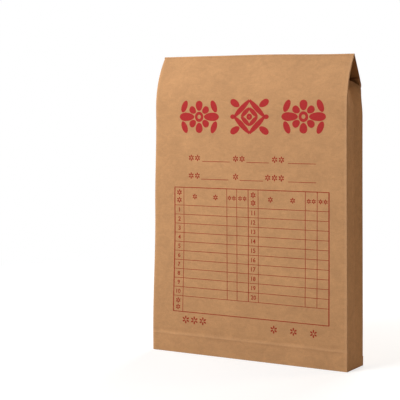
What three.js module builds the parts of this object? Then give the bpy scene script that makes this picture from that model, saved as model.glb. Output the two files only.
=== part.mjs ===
// Kraft document envelope: a gusseted paper bag that stands on its folded bottom. The front
// sheet bends back to a ridge, and the flap hangs from the ridge down the back, where a string
// wound round two card buttons holds it shut.
// Millimetres, +Z up, the printed front faces -Y, the buttons are on the +Y side.

import * as THREE from 'three';

// Paper body
const bagWidth = 240;
const bagDepth = 40;
const ridgeHeight = 335;
const paperThickness = 0.4;
const frontBendDrop = 60;
const frontBendPower = 2.2;
const backShoulderDrop = 39;
const mouthDrop = 27;
const gussetCrease = 1.2;
const gussetCreaseRise = 60;

// Flap
const flapLength = 47;
const flapCornerRadius = 9;
const flapStandoff = 1.8;

// Folded bottom and side seam
const closingFlapHeight = 20;
const closingFlapInset = 10;
const bottomTuckLength = 28;
const bottomTuckTaper = 14;
const innerFlapDepth = 24;
const innerFlapTaper = 8;
const seamLapWidth = 15;

// Buttons and eyelets
const buttonRadius = 12;
const buttonThickness = 0.9;
const buttonEdge = 0.25;
const eyeletBore = 1.45;
const eyeletBarrel = 2;
const eyeletFlange = 2.9;
const eyeletSheet = 0.3;
const washerRadius = 6.5;
const washerThickness = 0.4;
const flapButtonX = -1.5;
const flapButtonDrop = 25;
const bodyButtonX = 2;
const bodyButtonDrop = 96;

// String
const stringDiameter = 1.1;
const stringStep = 1.15;
const stringSides = 6;
const turnGap = 0.6;
const knotRadius = 1.6;
const knotTurns = 2;
const knotPitch = 1.8;
const upperTurnRadius = 4.3;
const upperTurnOffset = -0.8;
const lowerTurnRadius = 8;
const anchorTurnRadius = 3.2;
const edgeHump = 0.6;
const edgeHumpReach = 6;

// Clearances
const foldGap = 0.3;
const glueLine = 0.1;
const seatGap = 0.05;
const boreClearance = 0.3;
const ridgeClearance = 1.3;

// Colours
const kraftFinish = { color: 0xb98a5e, roughness: 0.85, metalness: 0 };
const kraftInsideFinish = { color: 0xa87b50, roughness: 0.9, metalness: 0 };
const buttonFinish = { color: 0xf1eff4, roughness: 0.25, metalness: 0 };
const eyeletFinish = { color: 0xb9b2a4, roughness: 0.3, metalness: 1 };
const stringFinish = { color: 0xe9dfcd, roughness: 0.95, metalness: 0 };

// Heights and angles worked out from the sizes above
const halfWidth = bagWidth / 2;
const halfDepth = bagDepth / 2;
const frontBendHeight = ridgeHeight - frontBendDrop;
const backShoulderHeight = ridgeHeight - backShoulderDrop;
const mouthHeight = ridgeHeight - mouthDrop;
const slantLength = Math.hypot(halfDepth, backShoulderDrop);
const backLean = Math.atan2(halfDepth, backShoulderDrop) + Math.asin(flapStandoff / slantLength);
const wallFoot = paperThickness + foldGap;
const holeRadius = eyeletBarrel + boreClearance;
const stringRadius = stringDiameter / 2;
const lowLift = foldGap + stringRadius;
const highLift = lowLift + stringDiameter + turnGap;
const buttonStandoff = highLift + stringRadius + foldGap;
const buttonTop = buttonStandoff + buttonThickness;
const eyeletTop = buttonTop + seatGap + eyeletSheet;
const eyeletFoot = -(paperThickness + glueLine + washerThickness + seatGap + eyeletSheet);
const bodyButtonHeight = ridgeHeight - bodyButtonDrop;

const group = new THREE.Group();

function addPiece(parent, name, geometry, finish) {
  const mesh = new THREE.Mesh(geometry, new THREE.MeshStandardMaterial(finish));
  mesh.name = name;
  parent.add(mesh);
  return mesh;
}

function addFrame(x, y, z, lean) {
  const frame = new THREE.Group();
  frame.position.set(x, y, z);
  frame.rotation.x = lean;
  group.add(frame);
  return frame;
}

// Outer faces of the front and back walls, as the depth y at a height z
function frontY(z) {
  const rise = Math.max(0, z - frontBendHeight) / frontBendDrop;
  return halfDepth * (rise ** frontBendPower - 1);
}

function frontSlope(z) {
  const rise = Math.max(0, z - frontBendHeight) / frontBendDrop;
  return halfDepth * frontBendPower / frontBendDrop * rise ** (frontBendPower - 1);
}

function backY(z) {
  return halfDepth - Math.max(0, z - backShoulderHeight) * Math.tan(backLean);
}

function smoothRise(value) {
  const share = THREE.MathUtils.clamp(value, 0, 1);
  return share * share * (3 - 2 * share);
}

// A flat sheet in the X-Z plane whose outer face lies at y = 0 and whose body lies behind it
function flatSheet(outline, thickness) {
  const geometry = new THREE.ExtrudeGeometry(outline, {
    depth: thickness,
    bevelEnabled: false,
    curveSegments: 6,
  });
  return geometry.rotateX(Math.PI / 2);
}

function polygon(corners) {
  return new THREE.Shape(corners.map(([x, z]) => new THREE.Vector2(x, z)));
}

function rectangle(left, right, bottom, top) {
  return polygon([[left, bottom], [right, bottom], [right, top], [left, top]]);
}

function cutHole(outline, x, z, radius) {
  const hole = new THREE.Path();
  hole.absarc(x, z, radius, 0, 2 * Math.PI, true);
  outline.holes.push(hole);
}

// A sheet bent along X: its outline in the Y-Z plane runs the full width of the bag
function bentSheet(outlineYZ, width) {
  const geometry = new THREE.ExtrudeGeometry(polygon(outlineYZ), {
    depth: width,
    bevelEnabled: false,
  });
  const axes = new THREE.Matrix4().makeBasis(
    new THREE.Vector3(0, 1, 0),
    new THREE.Vector3(0, 0, 1),
    new THREE.Vector3(1, 0, 0),
  );
  geometry.applyMatrix4(axes);
  return geometry.translate(-width / 2, 0, 0);
}

// A closed sheet between two grids of points, the outer face first
function closedSheet(outer, inner, mirrored) {
  const rows = outer.length;
  const cols = outer[0].length;
  const positions = [];
  for (const grid of [outer, inner]) {
    for (const point of grid.flat()) {
      positions.push(point.x, point.y, point.z);
    }
  }
  const index = [];
  const at = (layer, row, col) => (layer * rows + row) * cols + col;
  const quad = (a, b, c, d) => {
    index.push(...(mirrored ? [a, c, b, a, d, c] : [a, b, c, a, c, d]));
  };
  for (let row = 0; row + 1 < rows; row += 1) {
    for (let col = 0; col + 1 < cols; col += 1) {
      quad(at(0, row, col), at(0, row, col + 1), at(0, row + 1, col + 1), at(0, row + 1, col));
      quad(at(1, row, col), at(1, row + 1, col), at(1, row + 1, col + 1), at(1, row, col + 1));
    }
    const last = cols - 1;
    quad(at(0, row, 0), at(0, row + 1, 0), at(1, row + 1, 0), at(1, row, 0));
    quad(at(1, row, last), at(1, row + 1, last), at(0, row + 1, last), at(0, row, last));
  }
  for (let col = 0; col + 1 < cols; col += 1) {
    const top = rows - 1;
    quad(at(1, 0, col), at(1, 0, col + 1), at(0, 0, col + 1), at(0, 0, col));
    quad(at(0, top, col), at(0, top, col + 1), at(1, top, col + 1), at(1, top, col));
  }
  const geometry = new THREE.BufferGeometry();
  geometry.setAttribute('position', new THREE.Float32BufferAttribute(positions, 3));
  geometry.setIndex(index);
  return geometry;
}

// Front wall: a flat panel, then a sheet that curves back to the ridge
function makeFront() {
  const panelHeight = frontBendHeight - foldGap / 2 - wallFoot;
  const panel = new THREE.BoxGeometry(bagWidth, paperThickness, panelHeight);
  const mesh = addPiece(group, 'front_panel', panel, kraftFinish);
  mesh.position.set(0, (paperThickness - bagDepth) / 2, wallFoot + panelHeight / 2);

  const steps = 14;
  const firstHeight = frontBendHeight + foldGap / 2;
  const endSlope = frontSlope(ridgeHeight);
  const lastHeight = ridgeHeight - ridgeClearance / Math.hypot(1, endSlope);
  const outer = [];
  const inner = [];
  for (let step = 0; step <= steps; step += 1) {
    const z = THREE.MathUtils.lerp(firstHeight, lastHeight, step / steps);
    const slope = frontSlope(z);
    const reach = paperThickness / Math.hypot(1, slope);
    outer.push([frontY(z), z]);
    inner.unshift([frontY(z) + reach, z - reach * slope]);
  }
  inner[inner.length - 1][1] = firstHeight;
  const top = bentSheet([...outer, ...inner].reverse(), bagWidth);
  addPiece(group, 'front_top', top, kraftFinish);
}

// Back wall: a flat panel with the body button's hole, and a strip that leans in to the mouth
function makeBack() {
  const panelTop = backShoulderHeight - foldGap / 2;
  const outline = rectangle(-halfWidth, halfWidth, wallFoot, panelTop);
  cutHole(outline, bodyButtonX, bodyButtonHeight, holeRadius);
  const panel = addPiece(group, 'back_panel', flatSheet(outline, paperThickness), kraftFinish);
  panel.position.y = halfDepth;

  const frame = addFrame(0, halfDepth, backShoulderHeight, backLean);
  const stripLength = (mouthHeight - backShoulderHeight) / Math.cos(backLean);
  const stripFoot = foldGap / 2 + paperThickness * Math.tan(backLean);
  const strip = rectangle(-halfWidth, halfWidth, stripFoot, stripLength);
  addPiece(frame, 'back_top', flatSheet(strip, paperThickness), kraftFinish);
}

function flapOutline() {
  const foot = -flapLength;
  const radius = flapCornerRadius;
  const outline = new THREE.Shape();
  outline.moveTo(-halfWidth, -foldGap);
  outline.lineTo(-halfWidth, foot + radius);
  outline.absarc(-halfWidth + radius, foot + radius, radius, Math.PI, 1.5 * Math.PI, false);
  outline.lineTo(halfWidth - radius, foot);
  outline.absarc(halfWidth - radius, foot + radius, radius, -0.5 * Math.PI, 0, false);
  outline.lineTo(halfWidth, -foldGap);
  cutHole(outline, flapButtonX, -flapButtonDrop, holeRadius);
  return outline;
}

// Flap: its inner face hangs from the ridge, level with the back strip's outer face
function makeFlap() {
  const frame = addFrame(0, 0, ridgeHeight, backLean);
  const flap = addPiece(frame, 'flap', flatSheet(flapOutline(), paperThickness), kraftFinish);
  flap.position.y = paperThickness;
  makeButton(frame, 'flap', flapButtonX, paperThickness, -flapButtonDrop);
}

// One half of a side gusset, from the corner at the front or back wall to the middle crease.
// Where the walls close up, the crease moves inward so that the half keeps its width.
function gussetHalf(side, rear, bottom, top, rows) {
  const cols = 4;
  const fullHalf = Math.hypot(halfDepth, gussetCrease);
  const half = paperThickness / 2;
  const outer = [];
  const inner = [];
  for (let row = 0; row <= rows; row += 1) {
    const z = THREE.MathUtils.lerp(bottom, top, row / rows);
    const wallSlope = rear ? (z > backShoulderHeight ? Math.tan(backLean) : 0) : frontSlope(z);
    const wallReach = paperThickness * Math.hypot(1, wallSlope);
    const openHalf = (backY(z) - frontY(z)) / 2;
    const middleY = (backY(z) + frontY(z)) / 2;
    const fold = Math.sqrt(fullHalf ** 2 - openHalf ** 2);
    const tuck = fold * smoothRise((z - bottomGusset()) / gussetCreaseRise);
    const length = Math.hypot(openHalf, tuck);
    const outX = openHalf / length;
    const outY = tuck / length;
    const wallY = openHalf - wallReach - foldGap - half * outY;
    const creaseY = foldGap / 2 + half * outY;
    const cornerX = halfWidth - half * outX;
    const creaseX = halfWidth - tuck - half * outX;
    const outerRow = [];
    const innerRow = [];
    for (let col = 0; col <= cols; col += 1) {
      const share = rear ? col / cols : 1 - col / cols;
      const away = THREE.MathUtils.lerp(creaseY, wallY, share);
      const x = THREE.MathUtils.lerp(creaseX, cornerX, share);
      const facing = rear ? 1 : -1;
      const y = middleY + facing * away;
      outerRow.push(new THREE.Vector3(side * (x + half * outX), y - facing * half * outY, z));
      innerRow.push(new THREE.Vector3(side * (x - half * outX), y + facing * half * outY, z));
    }
    outer.push(outerRow);
    inner.push(innerRow);
  }
  return closedSheet(outer, inner, side < 0);
}

function bottomGusset() {
  return wallFoot + layerHeight(2);
}

// Top face of the given number of glued bottom layers
function layerHeight(layers) {
  return layers * (paperThickness + glueLine);
}

function makeGussets() {
  const bendFoot = frontBendHeight - foldGap / 2;
  const bendTop = frontBendHeight + foldGap / 2;
  for (const [sideName, side] of [['left', -1], ['right', 1]]) {
    for (const [placeName, rear] of [['front', false], ['rear', true]]) {
      const wall = gussetHalf(side, rear, bottomGusset(), bendFoot, 6);
      addPiece(group, `${sideName}_gusset_${placeName}`, wall, kraftFinish);
      const tuck = gussetHalf(side, rear, bendTop, mouthHeight, 12);
      addPiece(group, `${sideName}_mouth_tuck_${placeName}`, tuck, kraftFinish);
    }
  }
}

// A level layer of the folded bottom, its outline in the X-Y plane
function levelLayer(name, corners, layer) {
  const sheet = new THREE.ExtrudeGeometry(polygon(corners), {
    depth: paperThickness,
    bevelEnabled: false,
  });
  const mesh = addPiece(group, name, sheet, kraftInsideFinish);
  mesh.position.z = layerHeight(layer);
}

function makeBottom() {
  const panel = [[-halfWidth, -halfDepth], [halfWidth, -halfDepth],
    [halfWidth, halfDepth], [-halfWidth, halfDepth]];
  levelLayer('bottom_panel', panel, 0);

  const wallInside = halfDepth - paperThickness - foldGap;
  const gussetInside = halfWidth - paperThickness - foldGap;
  const tuckTip = gussetInside - bottomTuckLength;
  const tipHalf = wallInside - bottomTuckTaper;
  for (const [name, side] of [['left', -1], ['right', 1]]) {
    const corners = [[gussetInside, -wallInside], [gussetInside, wallInside],
      [tuckTip, tipHalf], [tuckTip, -tipHalf]];
    const placed = corners.map(([x, y]) => [side * x, y]);
    levelLayer(`${name}_bottom_tuck`, side < 0 ? placed.reverse() : placed, 1);
  }
  const innerFront = wallInside - innerFlapDepth;
  levelLayer('bottom_inner_flap', [
    [-gussetInside + innerFlapTaper, innerFront], [gussetInside - innerFlapTaper, innerFront],
    [gussetInside, wallInside], [-gussetInside, wallInside]], 2);

  const reach = halfWidth - closingFlapInset;
  const closing = polygon([[-halfWidth, 0], [halfWidth, 0],
    [halfWidth, closingFlapHeight - closingFlapInset], [reach, closingFlapHeight],
    [-reach, closingFlapHeight], [-halfWidth, closingFlapHeight - closingFlapInset]]);
  const flap = addPiece(group, 'bottom_closing_flap', flatSheet(closing, paperThickness), kraftFinish);
  flap.position.y = halfDepth + glueLine + paperThickness;

  const lapOutside = halfWidth - paperThickness - foldGap;
  const lapFoot = bottomGusset();
  const lapTop = frontBendHeight - foldGap / 2;
  const lap = rectangle(lapOutside - seamLapWidth, lapOutside, lapFoot, lapTop);
  const lapMesh = addPiece(group, 'seam_lap', flatSheet(lap, paperThickness), kraftInsideFinish);
  lapMesh.position.y = halfDepth - paperThickness - glueLine;
}

function ring(profile, segments) {
  const points = [...profile, profile[0]].map(([r, y]) => new THREE.Vector2(r, y));
  return new THREE.LatheGeometry(points, segments);
}

// A card button, the eyelet that carries it and the washer behind the paper, all on one axis.
// y is the paper's outer face in the parent's frame.
function makeButton(parent, name, x, y, z) {
  const pinRadius = eyeletBarrel + boreClearance;
  const disc = ring([
    [pinRadius, buttonStandoff],
    [buttonRadius - buttonEdge, buttonStandoff],
    [buttonRadius, buttonStandoff + buttonEdge],
    [buttonRadius, buttonTop - buttonEdge],
    [buttonRadius - buttonEdge, buttonTop],
    [pinRadius, buttonTop],
  ], 40);
  const eyelet = ring([
    [eyeletBore, eyeletFoot],
    [eyeletFlange, eyeletFoot],
    [eyeletFlange, eyeletFoot + eyeletSheet],
    [eyeletBarrel, eyeletFoot + eyeletSheet],
    [eyeletBarrel, eyeletTop - eyeletSheet],
    [eyeletFlange, eyeletTop - eyeletSheet],
    [eyeletFlange, eyeletTop - eyeletSheet / 2],
    [eyeletFlange - eyeletSheet / 2, eyeletTop],
    [eyeletBore, eyeletTop],
  ], 24);
  const washerBack = -(paperThickness + glueLine + washerThickness);
  const washer = ring([
    [pinRadius, washerBack],
    [washerRadius, washerBack],
    [washerRadius, washerBack + washerThickness],
    [pinRadius, washerBack + washerThickness],
  ], 32);
  for (const [suffix, geometry, finish] of [
    ['button', disc, buttonFinish],
    ['eyelet', eyelet, eyeletFinish],
    ['washer', washer, kraftInsideFinish],
  ]) {
    addPiece(parent, `${name}_${suffix}`, geometry, finish).position.set(x, y, z);
  }
}

// Height z of a point that lies the given way down the flap from the ridge
function heightOnFlap(drop) {
  return ridgeHeight - drop * Math.cos(backLean);
}

// A point of the string: right is measured from the body button towards -X, and lift from the
// paper, which is the flap above its lower edge and the back panel near the body button
function onBack(right, z, lift) {
  const edgeHeight = heightOnFlap(flapLength);
  const restHeight = bodyButtonHeight + buttonRadius;
  const lean = Math.tan(backLean);
  const stretch = 1 / Math.cos(backLean);
  const flapFace = (height) => (ridgeHeight - height) * lean + paperThickness * stretch;
  let surface = flapFace(z);
  let raised = lift * stretch;
  if (z < edgeHeight) {
    const share = Math.max(0, (z - restHeight) / (edgeHeight - restHeight));
    surface = THREE.MathUtils.lerp(halfDepth, flapFace(edgeHeight), share);
    raised = lift * THREE.MathUtils.lerp(1, stretch, share);
  }
  raised += edgeHump * Math.exp(-(((z - edgeHeight) / edgeHumpReach) ** 2));
  return new THREE.Vector3(bodyButtonX - right, surface + raised, z);
}

// Strands between the buttons: [share of the way up, distance to the right]
const risingStrand = [[0.26, 6.4], [0.36, 4.6], [0.453, 2.9], [0.543, 1], [0.651, -1],
  [0.786, -1.7], [0.88, -1.9]];
const fallingStrand = [[0.88, 6.8], [0.82, 5.6], [0.757, 3.6], [0.651, 1.1], [0.55, -0.8],
  [0.443, -2.9], [0.309, -4.9], [0.19, -6.4]];
const crossingShare = 0.59;
const crossingSpread = 0.1;
const strandSteps = 20;

function smoothStrand(corners) {
  const curve = new THREE.SplineCurve(corners.map(([share, right]) => new THREE.Vector2(share, right)));
  return curve.getPoints(strandSteps);
}

// The string's route: tied round the body button's eyelet, knotted, up to the flap button,
// once over its eyelet, down across itself, once round under the body button, and out
function stringRoute() {
  const points = [];
  const add = (right, up, lift) => points.push(onBack(right, bodyButtonHeight + up, lift));
  const flapButtonHeight = heightOnFlap(flapButtonDrop);
  const span = flapButtonHeight - bodyButtonHeight;

  // Anchor turn, low under the body button, widening to the button's right
  const anchorSteps = 14;
  for (let step = 0; step <= anchorSteps; step += 1) {
    const share = step / anchorSteps;
    const angle = THREE.MathUtils.degToRad(-300 * (1 - share));
    const radius = THREE.MathUtils.lerp(anchorTurnRadius, 0.62 * buttonRadius, share ** 2);
    add(radius * Math.cos(angle), radius * Math.sin(angle), lowLift);
  }
  const knotStart = new THREE.Vector2(0.73 * buttonRadius, 0.96 * buttonRadius);
  const knotAxis = new THREE.Vector2(-0.27, 0.963);
  add(0.73 * buttonRadius, 0.4 * buttonRadius, lowLift);
  add(knotStart.x + 0.15, 0.72 * buttonRadius, lowLift);

  // Knot: a short coil beside the button's edge
  const knotSteps = 8 * knotTurns;
  for (let step = 0; step <= knotSteps; step += 1) {
    const turn = step / knotSteps * knotTurns;
    const angle = 2 * Math.PI * turn;
    const along = knotStart.clone().addScaledVector(knotAxis, turn * knotPitch);
    const sideways = knotRadius * Math.sin(angle);
    const lift = lowLift + knotRadius * (1 - Math.cos(angle));
    add(along.x + sideways * knotAxis.y, along.y - sideways * knotAxis.x, lift);
  }

  // Rising strand, under the crossing
  for (const { x: share, y: right } of smoothStrand(risingStrand)) {
    add(right, share * span, lowLift);
  }

  // Turn over the flap button's eyelet, midway between the paper and the button
  const turnSteps = 10;
  const turnCentre = bodyButtonX - flapButtonX + upperTurnOffset;
  const turnLift = (lowLift + highLift) / 2;
  for (let step = 0; step <= turnSteps; step += 1) {
    const angle = Math.PI * (1 - step / turnSteps);
    const drop = flapButtonDrop - upperTurnRadius * Math.sin(angle);
    const up = heightOnFlap(drop) - bodyButtonHeight;
    add(turnCentre + upperTurnRadius * Math.cos(angle), up, turnLift);
  }

  // Falling strand, over the crossing
  for (const { x: share, y: right } of smoothStrand(fallingStrand)) {
    const away = (share - crossingShare) / crossingSpread;
    const hop = (stringDiameter + turnGap) * Math.exp(-(away ** 2));
    add(right, share * span, lowLift + hop);
  }

  // Loose turn, high under the body button, then the tail along the button's edge
  const looseSteps = 16;
  for (let step = 0; step <= looseSteps; step += 1) {
    const share = step / looseSteps;
    const angle = THREE.MathUtils.degToRad(THREE.MathUtils.lerp(155, 355, share));
    const radius = THREE.MathUtils.lerp(lowerTurnRadius, 0.8 * buttonRadius, share ** 2);
    add(radius * Math.cos(angle), radius * Math.sin(angle), highLift);
  }
  const tailRadius = buttonRadius + stringRadius + foldGap;
  const tailFall = [[0.13, 0.15], [0.32, 0.35], [0.5, 0.5], [0.66, 0.6]];
  for (const [angle, fall] of tailFall) {
    add(tailRadius * Math.cos(angle), tailRadius * Math.sin(angle), highLift - fall);
  }
  return new THREE.CatmullRomCurve3(points, false, 'centripetal');
}

// Least gap between parts of the string that are not next to each other along it
function leastGap(curve, length) {
  const samples = curve.getSpacedPoints(Math.ceil(length / 0.25));
  const apart = Math.ceil(3 * stringDiameter / 0.25);
  let least = Infinity;
  for (let first = 0; first < samples.length; first += 1) {
    for (let second = first + apart; second < samples.length; second += 1) {
      least = Math.min(least, samples[first].distanceTo(samples[second]));
    }
  }
  return least - stringDiameter;
}

function makeString() {
  const curve = stringRoute();
  curve.arcLengthDivisions = 3000;
  const length = curve.getLength();
  const section = new THREE.Shape();
  for (let side = 0; side < stringSides; side += 1) {
    const angle = 2 * Math.PI * side / stringSides;
    const corner = [stringRadius * Math.cos(angle), stringRadius * Math.sin(angle)];
    if (side === 0) {
      section.moveTo(...corner);
    } else {
      section.lineTo(...corner);
    }
  }
  const tube = new THREE.ExtrudeGeometry(section, {
    steps: Math.ceil(length / stringStep),
    bevelEnabled: false,
    extrudePath: curve,
  });
  addPiece(group, 'closure_string', tube, stringFinish);
  console.log(`string length ${length.toFixed(1)} mm`);
  console.log(`string's least gap to itself ${leastGap(curve, length).toFixed(2)} mm`);
}

// The string and buttons stand out behind, so the model moves forward until its box is centred
function centreBox() {
  group.updateMatrixWorld(true);
  const box = new THREE.Box3().setFromObject(group, true);
  group.position.y = -(box.min.y + box.max.y) / 2;
  console.log(`model moved ${group.position.y.toFixed(3)} mm along Y to centre its box`);
}

makeFront();
makeBack();
makeFlap();
makeGussets();
makeBottom();
makeButton(group, 'body', bodyButtonX, halfDepth, bodyButtonHeight);
makeString();
centreBox();

export default group;
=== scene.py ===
"""Kraft document envelope with a string-and-button closure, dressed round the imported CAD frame.

Metres, +Z up, the printed front faces -Y. Sizes are written in millimetres and scaled by MM,
and the shape functions repeat those of part.mjs.
"""

import math
import random
from itertools import product

import bpy
import numpy as np
from mathutils import Matrix, Vector, noise


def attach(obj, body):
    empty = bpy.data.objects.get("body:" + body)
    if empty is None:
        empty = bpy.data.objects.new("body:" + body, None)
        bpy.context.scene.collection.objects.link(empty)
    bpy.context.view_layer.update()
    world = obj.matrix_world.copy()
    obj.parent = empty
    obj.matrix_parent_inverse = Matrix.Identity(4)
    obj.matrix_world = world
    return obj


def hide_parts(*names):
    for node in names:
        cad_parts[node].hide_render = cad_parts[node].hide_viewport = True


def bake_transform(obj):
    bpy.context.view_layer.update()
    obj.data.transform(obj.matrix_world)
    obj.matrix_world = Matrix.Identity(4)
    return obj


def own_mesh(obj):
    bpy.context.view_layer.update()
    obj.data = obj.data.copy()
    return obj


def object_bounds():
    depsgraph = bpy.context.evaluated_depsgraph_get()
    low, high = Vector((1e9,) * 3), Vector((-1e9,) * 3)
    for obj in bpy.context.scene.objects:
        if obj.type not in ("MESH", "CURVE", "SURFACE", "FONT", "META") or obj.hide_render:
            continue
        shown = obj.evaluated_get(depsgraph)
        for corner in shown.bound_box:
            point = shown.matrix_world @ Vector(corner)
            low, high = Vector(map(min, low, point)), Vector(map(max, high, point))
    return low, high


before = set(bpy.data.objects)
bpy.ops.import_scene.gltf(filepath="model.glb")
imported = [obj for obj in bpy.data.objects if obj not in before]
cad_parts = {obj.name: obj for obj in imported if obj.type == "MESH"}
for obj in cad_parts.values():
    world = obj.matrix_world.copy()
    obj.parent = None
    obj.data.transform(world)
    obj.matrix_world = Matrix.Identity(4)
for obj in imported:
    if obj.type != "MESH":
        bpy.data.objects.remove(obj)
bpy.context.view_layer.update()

MM = 0.001

# The CAD model is moved forward by this much to centre its box
SHIFT_Y = -3.056

# Paper body
BAG_WIDTH = 240.0
BAG_DEPTH = 40.0
RIDGE_HEIGHT = 335.0
PAPER = 0.4
FRONT_BEND_DROP = 60.0
FRONT_BEND_POWER = 2.2
BACK_SHOULDER_DROP = 39.0
MOUTH_DROP = 27.0
GUSSET_CREASE = 1.2
GUSSET_CREASE_RISE = 60.0
FLAP_LENGTH = 47.0
FLAP_CORNER = 9.0
FLAP_STANDOFF = 1.8

# Folded bottom
CLOSING_FLAP_HEIGHT = 20.0
CLOSING_FLAP_INSET = 10.0
BOTTOM_TUCK_LENGTH = 28.0
BOTTOM_TUCK_TAPER = 14.0
INNER_FLAP_DEPTH = 24.0
INNER_FLAP_TAPER = 8.0

# Buttons and eyelets
BUTTON_RADIUS = 12.0
BUTTON_THICKNESS = 0.9
EYELET_BORE = 1.45
EYELET_BARREL = 2.0
EYELET_FLANGE = 2.9
EYELET_SHEET = 0.3
WASHER_THICKNESS = 0.4
FLAP_BUTTON_X = -1.5
FLAP_BUTTON_DROP = 25.0
BODY_BUTTON_X = 2.0
BODY_BUTTON_DROP = 96.0

# String
STRING_DIAMETER = 1.1
TURN_GAP = 0.6
KNOT_RADIUS = 1.6
KNOT_TURNS = 2
KNOT_PITCH = 1.8
UPPER_TURN_RADIUS = 4.3
UPPER_TURN_OFFSET = -0.8
LOWER_TURN_RADIUS = 8.0
ANCHOR_TURN_RADIUS = 3.2
EDGE_HUMP = 0.6
EDGE_HUMP_REACH = 6.0

# Clearances
FOLD_GAP = 0.3
GLUE_LINE = 0.1
SEAT_GAP = 0.05
BORE_CLEARANCE = 0.3

HALF_WIDTH = BAG_WIDTH / 2
HALF_DEPTH = BAG_DEPTH / 2
FRONT_BEND_HEIGHT = RIDGE_HEIGHT - FRONT_BEND_DROP
SHOULDER_HEIGHT = RIDGE_HEIGHT - BACK_SHOULDER_DROP
MOUTH_HEIGHT = RIDGE_HEIGHT - MOUTH_DROP
BACK_LEAN = (math.atan2(HALF_DEPTH, BACK_SHOULDER_DROP)
             + math.asin(FLAP_STANDOFF / math.hypot(HALF_DEPTH, BACK_SHOULDER_DROP)))
LAYER = PAPER + GLUE_LINE
STRING_RADIUS = STRING_DIAMETER / 2
LOW_LIFT = FOLD_GAP + STRING_RADIUS
HIGH_LIFT = LOW_LIFT + STRING_DIAMETER + TURN_GAP
BUTTON_STANDOFF = HIGH_LIFT + STRING_RADIUS + FOLD_GAP
BUTTON_TOP = BUTTON_STANDOFF + BUTTON_THICKNESS
EYELET_TOP = BUTTON_TOP + SEAT_GAP + EYELET_SHEET
EYELET_FOOT = -(LAYER + WASHER_THICKNESS + SEAT_GAP + EYELET_SHEET)
BODY_BUTTON_HEIGHT = RIDGE_HEIGHT - BODY_BUTTON_DROP
HOLE_RADIUS = EYELET_BARREL + BORE_CLEARANCE


def add_object(name, data):
    made = bpy.data.objects.new(name, data)
    bpy.context.scene.collection.objects.link(made)
    return made


# Camera, fitted to the photograph's corners, ridge and printed table
CAMERA_AT = (660.368, -1184.321 + SHIFT_Y, 285.297)
CAMERA_YAW = 31.719
CAMERA_PITCH = -4.6
CAMERA_ROLL = -0.359
FOCAL_PIXELS = 1229.906
PHOTO_PIXELS = 400
SENSOR_WIDTH = 36.0


def add_camera():
    yaw, pitch, roll = (math.radians(a) for a in (CAMERA_YAW, CAMERA_PITCH, CAMERA_ROLL))
    ahead = Vector((-math.sin(yaw) * math.cos(pitch), math.cos(yaw) * math.cos(pitch),
                    math.sin(pitch)))
    level = Vector((math.cos(yaw), math.sin(yaw), 0))
    right = level * math.cos(roll) + level.cross(ahead) * math.sin(roll)
    up = right.cross(ahead)
    data = bpy.data.cameras.new("camera")
    data.sensor_fit = "HORIZONTAL"
    data.sensor_width = SENSOR_WIDTH
    data.lens = FOCAL_PIXELS * SENSOR_WIDTH / PHOTO_PIXELS
    data.clip_start = 0.01
    data.clip_end = 50
    camera = add_object("camera", data)
    turn = Matrix((right, up, -ahead)).transposed().to_4x4()
    camera.matrix_world = Matrix.Translation(Vector(CAMERA_AT) * MM) @ turn
    bpy.context.scene.camera = camera


add_camera()


class Nodes:
    """A node tree under construction."""

    def __init__(self, tree):
        self.tree = tree
        tree.nodes.clear()

    def feed(self, target, value):
        if isinstance(value, bpy.types.NodeSocket):
            self.tree.links.new(value, target)
        else:
            target.default_value = value

    def node(self, kind, inputs=None, **settings):
        """A node with its settings, and its inputs set to values or linked to sockets."""
        made = self.tree.nodes.new(kind)
        for key, value in settings.items():
            setattr(made, key, value)
        for key, value in (inputs or {}).items():
            self.feed(made.inputs[key], value)
        return made

    def math(self, operation, first, second=0.0):
        return self.node("ShaderNodeMath", {0: first, 1: second}, operation=operation).outputs[0]

    def times(self, first, second):
        return self.math("MULTIPLY", first, second)

    def lit_or_seen(self, lit, seen):
        """One shader for light on its way, and another for what camera and mirrors see."""
        rays = self.node("ShaderNodeLightPath").outputs
        direct = self.math("MAXIMUM", rays["Is Camera Ray"], rays["Is Glossy Ray"])
        return self.node("ShaderNodeMixShader", {"Fac": direct, 1: lit, 2: seen}).outputs[0]


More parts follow.
